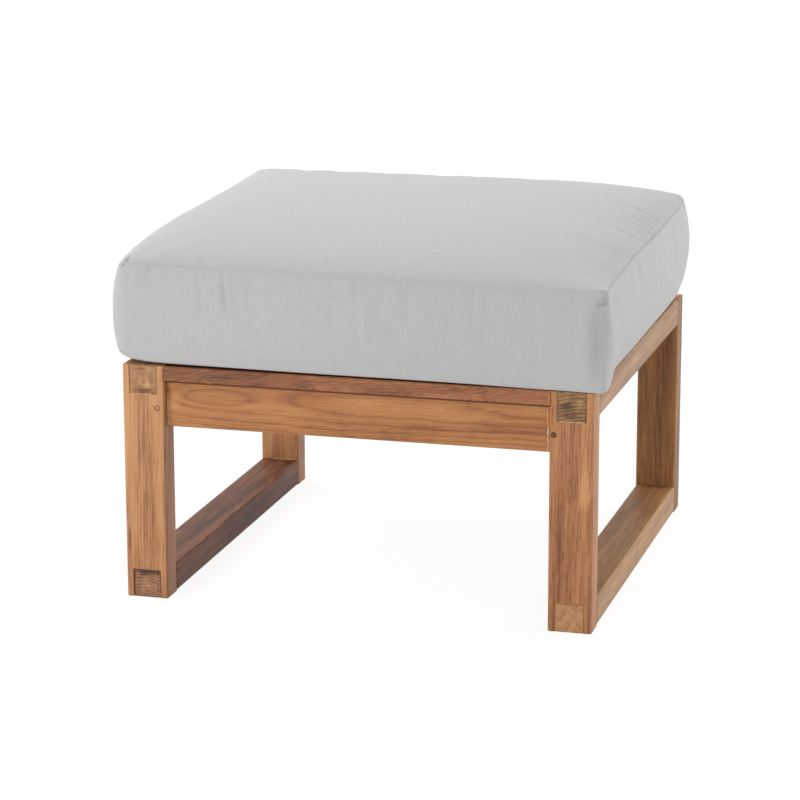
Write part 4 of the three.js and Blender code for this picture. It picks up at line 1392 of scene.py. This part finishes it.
SLIDER_NOSE = 0.7  # the slider's narrow end, as a share of its width
SLIDER_BODY = 0.010
SLIDER_TOP = 0.0013  # above the teeth
SLIDER_ROUNDING = 0.0005
CHANNEL_HALF = 0.0036
CHANNEL_PLAY = 0.00015
ARCH_PLACE = 0.0052
ARCH_SINK = 0.0003
ARCH_RING = (0.0016, 0.00045)  # the radius of the ring and of its wire
PULL_HALF = 0.0022
PULL_FACES = (0.0001, 0.0008)  # how high its two faces lie above the body
PULL_HOLE = (0.008, 0.002)  # the broad part with the hole, from the pull's end
PULL_NECK = 0.0012  # how far its root reaches to each side of the arch
PULL_ROUNDING = 0.00018
HOLE_FRAME = 0.0018
PULL_WIDTHS = (1.55, 0.8)  # how much broader the end is, and then its tip
nickel = satin_metal("nickel_plated_zinc", "#c9c5ba", 0.22, 0.0003)


def slider_body(low, high, top):
    """A wedge that straddles the teeth, narrower towards its nose."""
    end = low.x + SLIDER_BODY
    middle = zip_middle.z
    body = block("slider_body", low, (end, top, high.z))
    cut(body, 2, middle - CHANNEL_HALF, middle + CHANNEL_HALF)
    points = points_of(body)
    off = np.abs(points[:, 2] - middle)
    points[(off < 0.004) & (points[:, 1] < low.y + TOUCH), 1] = zip_face + CHAIN_HEIGHT + CHANNEL_PLAY
    nose = (points[:, 0] > end - TOUCH) & (off > 0.004)
    points[nose, 2] = middle + (points[nose, 2] - middle) * SLIDER_NOSE
    move_points(body, points)
    bevel_edges(body, SLIDER_ROUNDING, 2, lambda length, turn, middle: turn > 50 and middle.y > low.y + 0.0012)
    return body


def slider_arch(foot, top):
    """The ring that holds the pull, half sunk in the body and flattened at its top."""
    deselect()
    bpy.ops.mesh.primitive_torus_add(
        location=foot, rotation=(math.radians(90), 0, 0), major_radius=ARCH_RING[0], minor_radius=ARCH_RING[1],
        major_segments=20, minor_segments=8,
    )
    arch = bpy.context.object
    arch.name = "slider_arch"
    bpy.ops.object.transform_apply(location=True, rotation=True, scale=True)
    points = (points_of(arch) - np.array(foot))[:, [0, 2, 1]] + np.array(foot)
    points[:, 1] = np.minimum(points[:, 1], top)
    move_points(arch, points)
    select_all(arch)
    bpy.ops.mesh.normals_make_consistent(inside=False)
    mode("OBJECT")
    return arch


def slider_pull(start, end, top):
    """A flat pull, broader at its end, with a hole through it."""
    middle = zip_middle.z
    under, over = (top + height for height in PULL_FACES)
    pull = block("slider_pull", (start - PULL_NECK, under, middle - PULL_HALF), (end, over, middle + PULL_HALF))
    hole = [end - place for place in PULL_HOLE]
    cut(pull, 0, start + PULL_NECK, *hole)
    points = points_of(pull)
    for part, share in zip((points[:, 0] > hole[0] - TOUCH, points[:, 0] > end - TOUCH), PULL_WIDTHS):
        points[part, 2] = middle + (points[part, 2] - middle) * share
    move_points(pull, points)
    pick_faces(pull, lambda normal, place: abs(normal.y) > 0.9 and hole[0] < place.x < hole[1])
    bpy.ops.mesh.inset(thickness=HOLE_FRAME, use_individual=True)
    bpy.ops.mesh.bridge_edge_loops()
    mode("OBJECT")
    bevel_edges(pull, PULL_ROUNDING, 2, lambda length, turn, middle: abs(turn) > 60)
    return pull


def slider_piece():
    """The slider: a body that straddles the teeth, an arch, and a flat pull with a hole."""
    low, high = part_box("zip_slider")
    top = zip_face + CHAIN_HEIGHT + SLIDER_TOP
    arch_x = low.x + ARCH_PLACE
    body = slider_body(low, high, top)
    arch = slider_arch((arch_x, top - ARCH_SINK, zip_middle.z), high.y)
    pull = slider_pull(arch_x, high.x, top)
    slider = joined("zip_slider_and_pull", [body, arch, pull])
    slider.data.materials.append(nickel)
    smooth(slider, SHARP_TURN)
    stand_for(slider, "zip_slider", "zip_slider")


slider_piece()


# Studio
DAYLIGHT = 0.655  # the strength of the even light
FLOOR_GLOW = 1.12
GLOW_SHARE = 0.8
LAMP_TARGET = (0, 0, 0.3)


def seen_share(tree):
    """1 where the camera or a reflection looks straight at it."""
    rays = add_node(tree, "LightPath").outputs
    seen = add_node(tree, "Math", {0: rays["Is Camera Ray"], 1: rays["Is Glossy Ray"]}, operation="MAXIMUM")
    return add_node(tree, "Math", {0: seen, 1: rays["Is Transmission Ray"]}, operation="MAXIMUM")


def studio_world():
    """Even light on the object, and plain white where the camera or a reflection looks past it."""
    world = bpy.data.worlds.new("white_studio")
    bpy.context.scene.world = world
    world.use_nodes = True
    tree = world.node_tree
    tree.nodes.clear()
    strength = add_node(tree, "MapRange", {"Value": seen_share(tree), "To Min": DAYLIGHT, "To Max": 1.0})
    white = add_node(tree, "Background", {"Color": (1, 1, 1, 1), "Strength": strength})
    add_node(tree, "OutputWorld", {"Surface": white})


def studio_floor():
    """A pale sweep that shows white to the camera and keeps a faint shadow."""
    deselect()
    bpy.ops.mesh.primitive_plane_add(size=24)
    floor = bpy.context.object
    floor.name = "studio_floor"
    material = bpy.data.materials.new("matte_white_sweep")
    material.use_nodes = True
    tree = material.node_tree
    tree.nodes.clear()
    matte = add_node(tree, "BsdfDiffuse", {"Color": linear("#e6e6e6")})
    glow = add_node(tree, "Emission", {"Color": (1, 1, 1, 1), "Strength": FLOOR_GLOW})
    share = add_node(tree, "Math", {0: seen_share(tree), 1: GLOW_SHARE}, operation="MULTIPLY")
    mix = add_node(tree, "MixShader", {0: share, 1: matte, 2: glow})
    add_node(tree, "OutputMaterial", {"Surface": mix})
    floor.data.materials.append(material)
    floor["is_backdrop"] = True


def soft_lamp(name, place, size, power):
    """A square softbox that faces the footstool."""
    bpy.ops.object.light_add(type="AREA", location=place)
    lamp = bpy.context.object
    lamp.name = name
    lamp.data.size = size
    lamp.data.energy = power
    lamp.rotation_euler = (Vector(LAMP_TARGET) - Vector(place)).to_track_quat("-Z", "Y").to_euler()


studio_world()
studio_floor()
soft_lamp("rear_softbox", (-2.2, 1.3, 2.1), 1.6, 42)
soft_lamp("right_softbox", (2.6, 1.4, 1.3), 1.6, 26)
soft_lamp("front_softbox", (-1.9, -2.9, 1.0), 2.0, 30)

# Camera
CAMERA_AZIMUTH = 15.44
CAMERA_ELEVATION = 14.03
CAMERA_ROLL = -0.10
CAMERA_PLACE = (1.1200, -4.1441, 1.2969)
CAMERA_LENS = 137.33
bpy.ops.object.camera_add(location=CAMERA_PLACE)
camera = bpy.context.object
turn = Euler((0, 0, math.radians(CAMERA_AZIMUTH))).to_matrix()
tilt = Euler((math.radians(90 - CAMERA_ELEVATION), 0, 0)).to_matrix()
roll = Euler((0, 0, math.radians(CAMERA_ROLL))).to_matrix()
camera.rotation_euler = (turn @ tilt @ roll).to_euler()
camera.data.sensor_width = 36
camera.data.lens = CAMERA_LENS
camera.data.clip_end = 60
bpy.context.scene.camera = camera
bpy.context.scene.view_settings.view_transform = "Standard"

low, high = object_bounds()
